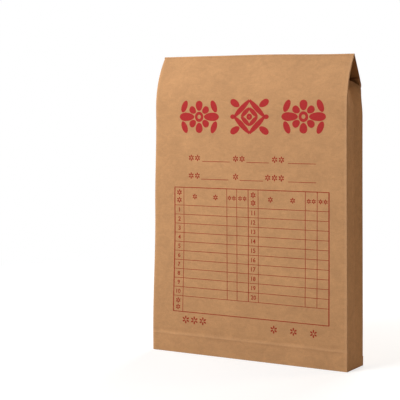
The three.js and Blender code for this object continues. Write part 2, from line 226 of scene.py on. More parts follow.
class Shader(Nodes):
    """A material round one Principled surface."""

    def __init__(self, name):
        self.material = bpy.data.materials.new(name)
        self.material.use_nodes = True
        super().__init__(self.material.node_tree)
        self.surface = self.node("ShaderNodeBsdfPrincipled")
        self.out = self.node("ShaderNodeOutputMaterial", {"Surface": self.surface.outputs["BSDF"]})

    def place(self, attribute=None):
        """Coordinates in millimetres: the paper's own where it has them, else the frame's."""
        if attribute:
            return self.node("ShaderNodeAttribute", attribute_name=attribute).outputs["Vector"]
        here = self.node("ShaderNodeTexCoord").outputs["Object"]
        return self.node("ShaderNodeVectorMath", {0: here, "Scale": 1 / MM}, operation="SCALE").outputs[0]

    def stretch(self, vector, scale):
        return self.node("ShaderNodeVectorMath", {0: vector, 1: scale}, operation="MULTIPLY").outputs[0]

    def noise(self, vector, scale, detail, roughness, distortion=0.0):
        """A cloudy field. A scale of three numbers draws it out along the axes."""
        if isinstance(scale, tuple):
            vector, scale = self.stretch(vector, scale), 1.0
        return self.node("ShaderNodeTexNoise", {
            "Vector": vector, "Scale": scale, "Detail": detail, "Roughness": roughness,
            "Distortion": distortion}).outputs["Fac"]

    def span(self, value, low, high, to_low=0.0, to_high=1.0):
        return self.node("ShaderNodeMapRange", {
            "Value": value, "From Min": low, "From Max": high, "To Min": to_low,
            "To Max": to_high}).outputs["Result"]

    def mix(self, share, first, second, blend="MIX"):
        return self.node("ShaderNodeMix", {"Factor": share, "A": first, "B": second},
                         data_type="RGBA", blend_type=blend).outputs["Result"]

    def bump(self, height, distance, strength, **under):
        """Relief of a depth in metres. under is Normal=, where it lies on other relief."""
        inputs = {"Height": height, "Distance": distance, "Strength": strength, **under}
        return self.node("ShaderNodeBump", inputs).outputs["Normal"]

    def finish(self, **values):
        """The material, with its surface's inputs set."""
        for key, value in values.items():
            self.feed(self.surface.inputs[key.replace("_", " ")], value)
        return self.material


PAPER_PLACE = "paper_mm"
STRING_PLACE = "string_mm"
# Per-point paleness of the paper: wear at folds, and a painted highlight along the sheets' folded side edges
WEAR_AND_HIGHLIGHT = "wear"


def kraft(name, colour, attribute=PAPER_PLACE):
    """Unbleached kraft card: cloudy mottling, pressed fibres, dark flecks and a dull nap."""
    shader = Shader(name)
    place = shader.place(attribute)
    clouds = shader.noise(place, 0.028, 3.0, 0.55, 0.6)
    patches = shader.noise(place, (0.07, 0.11, 0.11), 3.0, 0.6, 1.4)
    mottle = shader.noise(place, 0.32, 4.0, 0.62, 0.4)
    along = shader.noise(place, (0.16, 1.9, 1.9), 3.0, 0.6, 0.7)
    across = shader.noise(place, (1.7, 0.14, 0.3), 3.0, 0.6, 0.9)
    grain = shader.noise(place, 3.2, 2.0, 0.7)
    tone = shader.span(clouds, 0.3, 0.7, 0.94, 1.06)
    for field, low, high, swing in ((patches, 0.32, 0.68, 0.06), (mottle, 0.3, 0.7, 0.035),
                                    (along, 0.32, 0.68, 0.04), (across, 0.32, 0.68, 0.035),
                                    (grain, 0.25, 0.75, 0.045)):
        tone = shader.times(tone, shader.span(field, low, high, 1 - swing, 1 + swing))
    dark = tuple(channel * share for channel, share in zip(colour, (0.45, 0.38, 0.3, 1.0)))
    pale = tuple(min(1.0, channel * share) for channel, share in zip(colour, (1.3, 1.4, 1.6, 1.0)))
    fibres = shader.noise(place, (0.5, 2.6, 2.6), 2.0, 0.5, 2.2)
    flecks = shader.noise(place, 0.95, 1.0, 0.4)
    # Paler with wear, and along the sheets' folded side edges with a painted highlight as well
    worn_and_highlight = shader.node("ShaderNodeAttribute", attribute_name=WEAR_AND_HIGHLIGHT).outputs["Fac"]
    rubbed_and_highlight = shader.times(worn_and_highlight, shader.span(mottle, 0.3, 0.7, 0.55, 1.0))
    tinted = shader.mix(1.0, colour, tone, "MULTIPLY")
    for share, stain in ((shader.span(fibres, 0.655, 0.72, 0.0, 0.42), dark),
                         (shader.span(fibres, 0.345, 0.28, 0.0, 0.34), pale),
                         (shader.span(flecks, 0.735, 0.765, 0.0, 0.6), dark), (rubbed_and_highlight, pale)):
        tinted = shader.mix(share, tinted, stain)
    relief = shader.math("ADD", shader.times(grain, 0.5), along)
    normal = shader.bump(mottle, 0.00022, 0.8, Normal=shader.bump(relief, 0.00007, 0.8))
    return shader.finish(Base_Color=tinted, Roughness=shader.span(mottle, 0.3, 0.7, 0.8, 0.92),
                         Normal=normal, Specular_IOR_Level=0.28)


def ink(name, colour):
    """Offset ink soaked into kraft: the fibres let it down a little, and it has no shine."""
    shader = Shader(name)
    place = shader.place()
    wear = shader.noise(place, 1.4, 3.0, 0.65, 0.5)
    fibres = shader.noise(place, (0.4, 1.8, 2.2), 3.0, 0.6, 1.0)
    thin = shader.times(shader.span(wear, 0.45, 0.75, 0.0, 0.34), shader.span(fibres, 0.35, 0.65, 0.2, 1.0))
    return shader.finish(Base_Color=shader.mix(thin, colour, (0.5, 0.16, 0.08, 1.0)), Roughness=0.82,
                         Normal=shader.bump(fibres, 0.00006, 0.7), Specular_IOR_Level=0.25)


def coated_card():
    """White gloss-coated card with a slight orange-peel in the coating."""
    shader = Shader("button_card_white")
    place = shader.place()
    peel = shader.noise(place, 0.9, 2.0, 0.5)
    tooth = shader.noise(place, 6.0, 2.0, 0.6)
    return shader.finish(
        Base_Color=shader.mix(shader.span(peel, 0.3, 0.7), (0.785, 0.785, 0.82, 1), (0.825, 0.82, 0.855, 1)),
        Roughness=shader.span(peel, 0.3, 0.7, 0.24, 0.36), Coat_Weight=0.35, Coat_Roughness=0.12,
        Normal=shader.bump(tooth, 0.00002, 0.4, Normal=shader.bump(peel, 0.00006, 0.6)))


def card_core():
    """The cut edge of the card: grey-white layers."""
    shader = Shader("button_card_edge")
    layers = shader.noise(shader.place(), (0.3, 7.0, 3.0), 2.0, 0.6)
    return shader.finish(
        Base_Color=shader.mix(shader.span(layers, 0.35, 0.65), (0.5, 0.48, 0.46, 1), (0.72, 0.7, 0.68, 1)),
        Roughness=0.85, Normal=shader.bump(layers, 0.00005, 0.7))


def nickel():
    """Tumbled nickel-plated brass with fine turning marks."""
    shader = Shader("eyelet_nickel")
    place = shader.place()
    tarnish = shader.noise(place, 0.8, 4.0, 0.6)
    rub = shader.noise(place, (5.0, 5.0, 5.0), 3.0, 0.7, 1.0)
    return shader.finish(
        Base_Color=shader.mix(shader.span(tarnish, 0.35, 0.7), (0.6, 0.53, 0.42, 1), (0.43, 0.36, 0.27, 1)),
        Roughness=shader.span(rub, 0.3, 0.7, 0.24, 0.42), Metallic=1.0,
        Normal=shader.bump(rub, 0.00002, 0.5))


def cotton():
    """Twisted cotton: the ply is in the mesh, the fibres and their fuzz are here."""
    shader = Shader("string_cotton")
    place = shader.place(STRING_PLACE)
    fibres = shader.noise(place, (1.2, 9.0, 9.0), 3.0, 0.7, 0.6)
    soil = shader.noise(place, 0.12, 2.0, 0.5)
    clean = shader.mix(shader.span(fibres, 0.3, 0.7), (0.62, 0.54, 0.43, 1), (0.9, 0.85, 0.75, 1))
    return shader.finish(
        Base_Color=shader.mix(shader.span(soil, 0.45, 0.75, 0.0, 0.25), clean, (0.62, 0.5, 0.36, 1)),
        Roughness=0.93, Normal=shader.bump(fibres, 0.00012, 0.9), Sheen_Weight=0.25,
        Sheen_Roughness=0.5)


KRAFT = kraft("kraft_outside", (0.54, 0.29, 0.134, 1.0))
# The inside kraft is darker and more saturated than the outside kraft: painted shade for the bag's interior
KRAFT_INSIDE_SHADED = kraft("kraft_inside", (0.49, 0.232, 0.082, 1.0))
KRAFT_SOLID = kraft("kraft_on_solids", (0.43, 0.228, 0.102, 1.0), None)
RED_INK = ink("ink_red", (0.42, 0.018, 0.022, 1.0))
THIN_INK = ink("ink_red_thin", (0.33, 0.03, 0.014, 1.0))
CARD = coated_card()
CARD_EDGE = card_core()
NICKEL = nickel()
COTTON = cotton()


def smooth_rise(value):
    share = min(1.0, max(0.0, value))
    return share * share * (3 - 2 * share)


def over(value, stretch):
    """A smooth rise from 0 to 1 while the value goes from one end of a stretch to the other."""
    low, high = stretch
    return smooth_rise((value - low) / (high - low))


def mound(away, width):
    """1 at the middle, fading out over about twice the width."""
    return math.exp(-(away / width) ** 2)


def ripple(x, z, seed, scale):
    return noise.noise(Vector((x / scale, seed, z / scale)))


def ripples(x, z, layers):
    """Waves of several sizes. Each layer is (height, seed, size)."""
    return sum(height * ripple(x, z, seed, size) for height, seed, size in layers)


def to_frame(x, y, z):
    """A bag point in millimetres, in the row frame in metres."""
    return x * MM, (y + SHIFT_Y) * MM, z * MM


# The standing bag is no true box: its foot is spread, its upper left edge is drawn in, and so
# is the rear of its upper right edge. Each shift comes or goes over a stretch of heights, and
# takes along the paper that lies over a stretch of places out from the middle.
FOOT_SPREAD_LEFT, FOOT_LEFT_HEIGHTS = 4.4, (15, 160)
FOOT_SPREAD_RIGHT, FOOT_RIGHT_HEIGHTS = 1.4, (0, 280)
UPPER_DRAW_IN, UPPER_HEIGHTS = 2.4, (165, 265)
REAR_DRAW_IN, REAR_HEIGHTS = 1.8, (268, 294)
LEFT_PLACES, RIGHT_PLACES = (20, 120), (85, 120)


def settled(point):
    """Where a point of the even bag lies on the real one."""
    x, y, z = point
    left = FOOT_SPREAD_LEFT * (1 - over(z, FOOT_LEFT_HEIGHTS)) - UPPER_DRAW_IN * over(z, UPPER_HEIGHTS)
    rear = max(0.0, min(1.0, 0.5 + y / BAG_DEPTH))
    right = (FOOT_SPREAD_RIGHT * (1 - over(z, FOOT_RIGHT_HEIGHTS))
             - REAR_DRAW_IN * rear * over(z, REAR_HEIGHTS))
    return x + (right * over(x, RIGHT_PLACES) - left * over(-x, LEFT_PLACES)), y, z


def add_mesh(name, points, faces, materials, slots=None, smooth=True):
    """A piece from points of the even bag. slots gives each face's place among the materials."""
    mesh = bpy.data.meshes.new(name)
    mesh.from_pydata([to_frame(*settled(p)) for p in points], [], faces)
    mesh.validate()
    for material in materials:
        mesh.materials.append(material)
    if slots is not None:
        mesh.polygons.foreach_set("material_index", slots)
    mesh.polygons.foreach_set("use_smooth", [smooth] * len(mesh.polygons))
    return add_object(name, mesh)


def keep_at_points(made, name, values, kind="FLOAT_VECTOR", key="vector"):
    """Keeps a value at each point of a piece, for its material."""
    layer = made.data.attributes.new(name, kind, "POINT")
    layer.data.foreach_set(key, np.array(values, np.float32).ravel())


def sharpen(made, angle):
    """Smooth shading that breaks at the piece's cut edges."""
    made.data.update()
    made.data.set_sharp_from_angle(angle=math.radians(angle))


def spread(low, high, step):
    """Even places from low to high, about a step apart."""
    count = max(1, round((high - low) / step))
    return [low + (high - low) * i / count for i in range(count + 1)]


def stations(low, *parts):
    """Even places from low to the end of each part in turn. A part is (end, step)."""
    out = [low]
    for end, step in parts:
        out += spread(out[-1], end, step)[1:-1] + [end]
    return out


def mirrored(middle, outer):
    """Places in the middle, with the outer ones on both sides of them."""
    return [-x for x in reversed(outer)] + middle + outer


HOLE_MARGIN = 3.5
HOLE_RINGS = 4


def plan(columns, rows, hole=None):
    """A flat net of quads over columns and rows. A hole is (x, z, radius): the cells round it
    give way to rings that run from their square outline to the circle."""
    points = [(x, z) for z in rows for x in columns]
    wide = len(columns)
    near_x = near_z = ()
    if hole:
        near_x, near_z = ([k for k in range(len(line) - 1)
                           if abs((line[k] + line[k + 1]) / 2 - middle) < hole[2] + HOLE_MARGIN]
                          for line, middle in zip((columns, rows), hole))
    faces = [(j * wide + i, j * wide + i + 1, (j + 1) * wide + i + 1, (j + 1) * wide + i)
             for j in range(len(rows) - 1) for i in range(wide - 1)
             if i not in near_x or j not in near_z]
    if not hole:
        return points, faces
    left, right, low, high = near_x[0], near_x[-1] + 1, near_z[0], near_z[-1] + 1
    loop = [(i, low) for i in range(left, right)] + [(right, j) for j in range(low, high)]
    loop += [(i, high) for i in range(right, left, -1)] + [(left, j) for j in range(high, low, -1)]
    ring = [j * wide + i for i, j in loop]
    middle = Vector(hole[:2])
    corners = [Vector(points[k]) for k in ring]
    for step in range(1, HOLE_RINGS + 1):
        fresh = list(range(len(points), len(points) + len(ring)))
        points += [tuple(corner.lerp(middle + (corner - middle).normalized() * hole[2],
                                     (step / HOLE_RINGS) ** 0.8)) for corner in corners]
        for k in range(len(ring)):
            after = (k + 1) % len(ring)
            faces.append((ring[k], ring[after], fresh[after], fresh[k]))
        ring = fresh
    return points, faces


def thick_faces(quads, count):
    """The faces of a closed plate over a net, whose inner points come count after the outer."""
    edges = dict.fromkeys(pair for face in quads for pair in zip(face, face[1:] + face[:1]))
    return (list(quads) + [tuple(k + count for k in reversed(face)) for face in quads]
            + [(b, a, a + count, b + count) for a, b in edges if (b, a) not in edges])


# The inner side's texture is taken this far from the outer one's
INNER_PLACE = 40.0
SHEET_CREASE_ANGLE = 38.0


def closed_sheet(name, net, outer_at, thickness=PAPER, inside_only=False, place_at=None, flip=False,
                 wear_at=None):
    """A sheet of real thickness. outer_at(u, v) gives the outer point and the outward normal,
    and wear_at(u, v) how far the paper is painted pale there, for wear and for a painted highlight."""
    flat, quads = net
    outer, inner = [], []
    for u, v in flat:
        point, normal = outer_at(u, v)
        outer.append(point)
        inner.append(point - normal * (thickness(u, v) if callable(thickness) else thickness))
    faces = thick_faces(quads, len(flat))
    # Inner faces and rims take the darker inside colour, which is painted shade
    slots = [0] * len(quads) + [0 if inside_only else 1] * (len(faces) - len(quads))
    if flip:
        faces = [tuple(reversed(face)) for face in faces]
    made = add_mesh(name, outer + inner, faces,
                    [KRAFT_INSIDE_SHADED] if inside_only else [KRAFT, KRAFT_INSIDE_SHADED], slots)
    places = [place_at(u, v) if place_at else (u, 0.0, v) for u, v in flat]
    keep_at_points(made, PAPER_PLACE, places + [(x, y + INNER_PLACE, z) for x, y, z in places])
    if wear_at:
        worn_and_highlight = [wear_at(u, v) for u, v in flat] + [0.0] * len(flat)
        keep_at_points(made, WEAR_AND_HIGHLIGHT, worn_and_highlight, "FLOAT", "value")
    sharpen(made, SHEET_CREASE_ANGLE)
    return made


def dress(made, slot, *nodes, body=None):
    """Hides the CAD nodes a piece stands for and hangs it on the body it rides on. slot is not used."""
    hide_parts(*nodes)
    if body:
        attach(made, body)


def bend_with_front(made):
    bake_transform(made)


def fold_flat(made):
    """Gives a piece its own copy of its mesh."""
    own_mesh(made)


# The sheets' side edges fold round a corner and lie on the gusset, which keeps off by a seam
CORNER = 1.0
WRAP = 0.5
SEAM = 0.05
SIDE_FLAT = HALF_WIDTH - CORNER
SIDE_QUARTER = CORNER * math.pi / 2
WRAPPED_COLUMNS = mirrored(spread(-SIDE_FLAT, SIDE_FLAT, 3.0),
                           spread(SIDE_FLAT, SIDE_FLAT + SIDE_QUARTER, SIDE_QUARTER / 5)[1:]
                           + [SIDE_FLAT + SIDE_QUARTER + WRAP])
FOOT = 0.15


def wrapped(u, z, surface):
    """The outer point, the facing and the surface's normal of a sheet that lies on a surface
    and folds round its side edges. u beyond the flat part is the way round the fold."""
    x, gone, turn = u, 0.0, 0.0
    if abs(u) > SIDE_FLAT:
        side = math.copysign(1.0, u)
        gone = abs(u) - SIDE_FLAT
        angle = min(gone / CORNER, math.pi / 2)
        x = side * (SIDE_FLAT + CORNER * math.sin(angle))
        gone = CORNER * (1 - math.cos(angle)) + max(0.0, gone - SIDE_QUARTER)
        turn = side * angle
    point, normal = surface(x, z)
    point = point - normal * gone
    point.x = x
    return point, normal * math.cos(turn) + Vector((math.sin(turn), 0, 0)), normal


# The ridge has sunk a little towards its right end, as soft paper does
RIDGE_SAG = 1.6
RIDGE_SAG_REACH = 26.0


def sagged(point):
    share = smooth_rise((point.x - 5) / 100)
    share *= smooth_rise(1 - (RIDGE_HEIGHT - point.z) / RIDGE_SAG_REACH)
    return point - Vector((0, 0, RIDGE_SAG * share))


def front_rest(z):
    """The depth at which the front lies at a height."""
    rise = max(0.0, z - FRONT_BEND_HEIGHT) / FRONT_BEND_DROP
    return HALF_DEPTH * (rise ** FRONT_BEND_POWER - 1)


def front_slope(z):
    rise = max(0.0, z - FRONT_BEND_HEIGHT) / FRONT_BEND_DROP
    return HALF_DEPTH * FRONT_BEND_POWER / FRONT_BEND_DROP * rise ** (FRONT_BEND_POWER - 1)


def back_rest(z):
    """The depth at which the back lies at a height."""
    return HALF_DEPTH - max(0.0, z - SHOULDER_HEIGHT) * math.tan(BACK_LEAN)


# The paper's waves die out over this much of it at its side edges, and keep this far off the
# buttons. Every calm of two numbers is a stretch over which waves set in.
SIDE_CALM = 14
BUTTON_CALM = 6


def off_sides(x, reach=SIDE_CALM):
    return smooth_rise((HALF_WIDTH - abs(x)) / reach)


def off_button(x, z, button_x, button_z, reach):
    return smooth_rise((math.hypot(x - button_x, z - button_z) - BUTTON_CALM) / reach)


# The front: slow waves, puckers round the foot, and the crease where the bag was folded flat
FRONT_WAVES = ((0.55, 3.1, 95), (0.22, 8.4, 38))
FRONT_FOOT_CALM = (0, 8)
FRONT_TOP_CALM, FRONT_TOP_REACH = 8, 30
FRONT_PUCKER, PUCKER_REACH, PUCKER_SIZE = 0.32, 16, 15
FOOT_CREASE = 21.0
CREASE_LIP, CREASE_LIP_WIDTH = 0.36, 1.5
CREASE_DENT, CREASE_DENT_RISE, CREASE_DENT_WIDTH = 0.2, 3.2, 2.2
CREASE_SIDE_CALM = 5


def crease_line(x):
    return FOOT_CREASE + 0.5 * ripple(x, 0, 2.2, 40)


def front_swell(x, z):
    """How far the front stands out from its flat form. Nothing bulges at its folded edges."""
    over_crease = z - crease_line(x)
    swell = ripples(x, z, FRONT_WAVES)
    swell += FRONT_PUCKER * mound(z - FOOT_CREASE, PUCKER_REACH) * ripple(x, z * 2.2, 5.7, PUCKER_SIZE)
    swell *= (off_sides(x) * over(z, FRONT_FOOT_CALM)
              * smooth_rise((RIDGE_HEIGHT - FRONT_TOP_CALM - z) / FRONT_TOP_REACH))
    crease = (CREASE_LIP * mound(over_crease, CREASE_LIP_WIDTH)
              - CREASE_DENT * mound(over_crease - CREASE_DENT_RISE, CREASE_DENT_WIDTH))
    return swell + off_sides(x, CREASE_SIDE_CALM) * crease


def front_facing(z):
    return Vector((0.0, -1.0, front_slope(z))).normalized()


def front_point(x, z):
    """The front's outer point and normal at a place on it."""
    normal = front_facing(z)
    return Vector((x, front_rest(z), z)) + normal * front_swell(x, z), normal


# Paler along the folded side edges, partly from wear and partly as a painted highlight; paler along the foot
# crease from wear
def front_wear(u, z):
    sides = mound(abs(u) - HALF_WIDTH + 0.2, 1.2)
    return min(1.0, 0.75 * sides + 0.35 * mound(z - crease_line(u), 0.9))


# The flap's sheet runs over the ridge and down the front as a thin lip, flush with the front
LIP_LENGTH = 1.5
LIP_CLEARANCE = 0.03
LIP_PRESSED = 0.2
LIP_SEAT = 0.02
FRONT_TOP_DROP = 0.45


def from_ridge(z):
    """Length along the front sheet from the ridge down to a height near it."""
    return (RIDGE_HEIGHT - z) * math.hypot(1, front_slope((RIDGE_HEIGHT + z) / 2))


def lip_rise(length):
    """How far the flap's lip stands proud of the front's surface, which it meets at its end."""
    return PAPER * (1 - smooth_rise(length / LIP_LENGTH))


def lip_thickness(length):
    return PAPER - LIP_SEAT - LIP_PRESSED * smooth_rise(length / LIP_LENGTH)


def front_under_lip(z):
    """How far the front sinks to let the lip lie flush on it."""
    length = from_ridge(z)
    under = min(length, LIP_LENGTH)
    full = lip_thickness(under) - lip_rise(under) + LIP_CLEARANCE
    return full * (1 - smooth_rise((length - LIP_LENGTH - 0.02) / 0.15))


def make_front():
    seam = RIDGE_HEIGHT - (LIP_LENGTH + 0.18) / math.hypot(1, front_slope(RIDGE_HEIGHT))
    rows = stations(FOOT, (14, 2.0), (30, 0.5), (270, 3.2), (seam, 1.6), (seam + 0.15, 0.04),
                    (RIDGE_HEIGHT - FRONT_TOP_DROP, 0.2))

    def outer_at(u, z):
        point, facing, normal = wrapped(u, z, front_point)
        return sagged(point - normal * front_under_lip(z)), facing

    made = closed_sheet("front_sheet", plan(WRAPPED_COLUMNS, rows), outer_at, wear_at=front_wear)
    dress(made, "kraft", "front_panel", "front_top")
    bend_with_front(made)


# The back: slow waves, and one slanting crease above the foot at its left
BACK_WAVES = ((0.45, 13.7, 90), (0.2, 19.2, 35))
BACK_FOOT_CALM = (22, 42)
BACK_TOP_CALM, BACK_TOP_REACH = 6, 24
BACK_BUTTON_REACH = 20
BACK_CREASE, BACK_CREASE_WIDTH, BACK_CREASE_REACH = -0.16, 1.6, 70
BACK_CREASE_AT = (-28, 34)
SHOULDER_BEND = 2.2


def back_swell(x, z):
    """How far the back stands out. It is calm round its button, at the foot and its edges."""
    right, up = x - BACK_CREASE_AT[0], z - BACK_CREASE_AT[1]
    crease = (BACK_CREASE * mound(right * 0.42 + up * 0.9, BACK_CREASE_WIDTH)
              * smooth_rise((BACK_CREASE_REACH - abs(right)) / 40))
    return (off_button(x, z, BODY_BUTTON_X, BODY_BUTTON_HEIGHT, BACK_BUTTON_REACH)
            * smooth_rise((SHOULDER_HEIGHT - BACK_TOP_CALM - z) / BACK_TOP_REACH)
            * over(z, BACK_FOOT_CALM) * off_sides(x) * (ripples(x, z, BACK_WAVES) + crease))


def leaning_back(lean):
    """The way out of the back where its top faces up by an angle."""
    return Vector((0.0, math.cos(lean), math.sin(lean)))


def back_point(x, z):
    """The back's outer point and normal at a place on it, with its rounded shoulder."""
    into_bend = z - SHOULDER_HEIGHT + SHOULDER_BEND
    lean = BACK_LEAN * smooth_rise(into_bend / (2 * SHOULDER_BEND))
    y = back_rest(z)
    if 0 < into_bend < 2 * SHOULDER_BEND:
        y = HALF_DEPTH - math.tan(BACK_LEAN) * into_bend ** 2 / (4 * SHOULDER_BEND)
    normal = leaning_back(lean)
    return Vector((x, y, z)) + normal * back_swell(x, z), normal


# Paler along the folded side edges, partly from wear and partly as a painted highlight, as on the front;
# paler along the shoulder from wear
def back_wear(u, z):
    return 0.5 * mound(abs(u) - HALF_WIDTH + 0.2, 1.1) + 0.2 * mound(z - SHOULDER_HEIGHT, 1.4)


def make_back():
    rows = stations(FOOT, (30, 2.0), (288, 3.2), (304, 0.8), (MOUTH_HEIGHT - 0.2, 2.0))
    hole = (BODY_BUTTON_X, BODY_BUTTON_HEIGHT, HOLE_RADIUS)
    made = closed_sheet("back_sheet", plan(WRAPPED_COLUMNS, rows, hole),
                        lambda u, z: wrapped(u, z, back_point)[:2],
                        place_at=lambda u, v: (u + 400, 80, v), flip=True, wear_at=back_wear)
    dress(made, "kraft", "back_panel", "back_top")
    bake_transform(made)


DOWN_FLAP = Vector((0.0, math.sin(BACK_LEAN), -math.cos(BACK_LEAN)))
OFF_FLAP = leaning_back(BACK_LEAN)
RIDGE = Vector((0.0, 0.0, RIDGE_HEIGHT))
RIDGE_ARC = PAPER * (math.pi - BACK_LEAN - math.atan(front_slope(RIDGE_HEIGHT)))
FLAP_WAVES = ((0.3, 23.3, 48), (0.16, 29.9, 17))
FLAP_DEEPEST = -0.25
FLAP_RIDGE_CALM = (0, 26)
FLAP_BUTTON_REACH = 18
FLAP_FIT_DROP = 30.0


def flap_swell(x, drop):
    """The flap's waves, which are nothing at the ridge and near its button."""
    return (over(drop, FLAP_RIDGE_CALM)
            * off_button(x, drop, FLAP_BUTTON_X, FLAP_BUTTON_DROP, FLAP_BUTTON_REACH)
            * max(FLAP_DEEPEST, ripples(x, drop, FLAP_WAVES)))


def flap_point(x, drop):
    """The flap's outer point and normal, drop millimetres down from the ridge. A negative drop
    runs over the ridge and down the front as the lip."""
    at_ridge = RIDGE + Vector((x, 0, 0))
    if drop >= 0:
        return sagged(at_ridge + DOWN_FLAP * drop + OFF_FLAP * (PAPER + flap_swell(x, drop))), OFF_FLAP
    if -drop < RIDGE_ARC:
        out = leaning_back(BACK_LEAN - drop / PAPER)
        return sagged(at_ridge + out * PAPER), out
    lip = -drop - RIDGE_ARC
    z = RIDGE_HEIGHT
    for _ in range(8):
        z -= (lip - from_ridge(z)) / math.hypot(1, front_slope(z))
    normal = front_facing(z)
    return sagged(Vector((x, front_rest(z), z)) + normal * lip_rise(lip)), normal


def flap_edge(x):
    """How far down the flap's lower edge lies, with its rounded corners."""
    beyond = abs(x) - (HALF_WIDTH - FLAP_CORNER)
    if beyond <= 0:
        return FLAP_LENGTH + 0.28 * ripple(x, 0, 37.7, 22) * smooth_rise((110 - abs(x)) / 20)
    return FLAP_LENGTH - FLAP_CORNER + math.sqrt(max(0.0, FLAP_CORNER ** 2 - beyond ** 2))


def make_flap():
    inner = HALF_WIDTH - FLAP_CORNER
    corner = [inner + FLAP_CORNER * math.sin(math.radians(a)) for a in range(6, 91, 6)]
    lip = [-(RIDGE_ARC + LIP_LENGTH * k / 6) for k in range(6, -1, -1)]
    bend = [-RIDGE_ARC * k / 8 for k in range(7, 0, -1)]
    flat, quads = plan(mirrored(spread(-inner, inner, 3.0), corner),
                       lip + bend + spread(0, FLAP_LENGTH, 1.9),
                       (FLAP_BUTTON_X, FLAP_BUTTON_DROP, HOLE_RADIUS))
    fitted = []
    for x, drop in flat:
        if drop > FLAP_FIT_DROP:
            drop = FLAP_FIT_DROP + ((drop - FLAP_FIT_DROP) * (flap_edge(x) - FLAP_FIT_DROP)
                                    / (FLAP_LENGTH - FLAP_FIT_DROP))
        fitted.append((x, drop))

    def outer_at(x, drop):
        # The lip ends square, without the lower corners' rounding
        if drop < 0 and abs(x) > HALF_WIDTH - 0.2:
            x = math.copysign(HALF_WIDTH, x)
        return flap_point(x, drop)

    made = closed_sheet("flap_sheet", (fitted, quads), outer_at,
                        lambda x, drop: lip_thickness(max(0.0, -drop - RIDGE_ARC)),
                        place_at=lambda u, v: (u, 0, RIDGE_HEIGHT + v),
                        wear_at=lambda u, v: 0.3 * mound(v + RIDGE_ARC / 2, 0.8))
    dress(made, "kraft", "flap")
    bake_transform(made)


# A gusset's upper edge is cut lower at its back corner, near the shoulder
GUSSET_MOUTH_FALL, MOUTH_FALL_HEIGHTS = 8.0, (SHOULDER_HEIGHT - 14, SHOULDER_HEIGHT + 12)
GUSSET_ROUNDING = 0.9
GUSSET_SEAT = 0.12
GUSSET_BULGE, GUSSET_FOOT_CALM = 0.1, (2, 20)
GUSSET_CREASE_SAG, GUSSET_CREASE_WIDTH = 0.35, 2.0
GUSSET_THICKNESS = 0.8 * PAPER


def make_gusset(side, word):
    """A side gusset, with its middle crease drawn in where the bag narrows to its mouth.
    u runs from -1 at the front to 1 at the back."""
    rim = CORNER + WRAP + SEAM
    spread_half = math.hypot(HALF_DEPTH, GUSSET_CREASE)
    foot = PAPER + FOLD_GAP + 2 * LAYER
    blunt = GUSSET_ROUNDING / HALF_DEPTH

    def outer_at(u, z):
        z -= GUSSET_MOUTH_FALL * max(0.0, u) ** 2 * over(z, MOUTH_FALL_HEIGHTS)
        middle = (back_rest(z) + front_rest(z)) / 2
        half = (back_rest(z) - front_rest(z)) / 2
        tuck = math.sqrt(max(0.0, spread_half ** 2 - half ** 2))
        tuck *= smooth_rise((z - foot) / GUSSET_CREASE_RISE)
        back_slope = math.tan(BACK_LEAN) if z > SHOULDER_HEIGHT else 0.0
        y = middle + (half - rim * math.hypot(1, back_slope if u > 0 else front_slope(z))) * u
        from_crease = (math.hypot(u, blunt) - blunt) / (math.hypot(1, blunt) - blunt)
        bulge = (0.35 * ripple(y * 1.3 + 60 * side, z, 41.3, 34)
                 + 0.12 * ripple(y * 2 + 90 * side, z, 47.1, 13))
        bulge *= smooth_rise((1 - abs(u)) * 3) * over(z, GUSSET_FOOT_CALM)
        sag = (GUSSET_CREASE_SAG * mound(z - FOOT_CREASE * 0.95, GUSSET_CREASE_WIDTH)
               * smooth_rise((1 - abs(u)) * 5))
        x = HALF_WIDTH - GUSSET_SEAT - tuck * (1 - from_crease) + min(bulge, GUSSET_BULGE) - sag
        lean = math.atan2(tuck, max(1e-6, half)) * max(-1.0, min(1.0, -u * 12))
        return Vector((side * x, y, z)), Vector((side * math.cos(lean), math.sin(lean), 0.0))

    # Paler along the middle crease from wear; paler at the corners, partly from wear and partly as a painted
    # highlight along the folded edges
    def wear_at(u, z):
        return 0.3 * mound(u, 0.04) + 0.35 * smooth_rise((abs(u) - 0.93) / 0.07)

    net = plan(spread(-1, 1, 1 / 14), stations(0.75, (270, 3.4), (MOUTH_HEIGHT - 0.4, 1.6)))
    made = closed_sheet(f"{word}_gusset", net, outer_at, GUSSET_THICKNESS,
                        place_at=lambda u, v: (side * 160 + u * 20, 0, v), flip=side < 0,
                        wear_at=wear_at)
    dress(made, "kraft", f"{word}_gusset_front", f"{word}_gusset_rear", f"{word}_mouth_tuck_front",
          f"{word}_mouth_tuck_rear", body="back")
    fold_flat(made)


# The bottom ends a little inside the walls' folds, and its middle stands off the ground
BOTTOM_INSET = 0.3
BOTTOM_LIFT = 0.048


def make_bottom():
    reach_x, reach_y = HALF_WIDTH - BOTTOM_INSET, HALF_DEPTH - BOTTOM_INSET

    def outer_at(x, y):
        lift = BOTTOM_LIFT * (1 + ripple(x, y, 53.9, 26)) * off_sides(x, 12)
        return Vector((x, y, lift * smooth_rise((HALF_DEPTH - abs(y)) / 6))), Vector((0, 0, -1))

    made = closed_sheet("bottom_sheet",
                        plan(spread(-reach_x, reach_x, 4.0), spread(-reach_y, reach_y, 2.2)),
                        outer_at, place_at=lambda u, v: (u, 60, v), flip=True)
    dress(made, "kraft_inside", "bottom_panel", body="back")
    fold_flat(made)


# The glued layers inside the bottom are pressed a little thinner on both sides
LAYER_PRESSED = 0.02
INNER_WALL = HALF_DEPTH - PAPER - FOLD_GAP
INNER_SIDE = HALF_WIDTH - PAPER - FOLD_GAP
INNER_SAG = 0.03


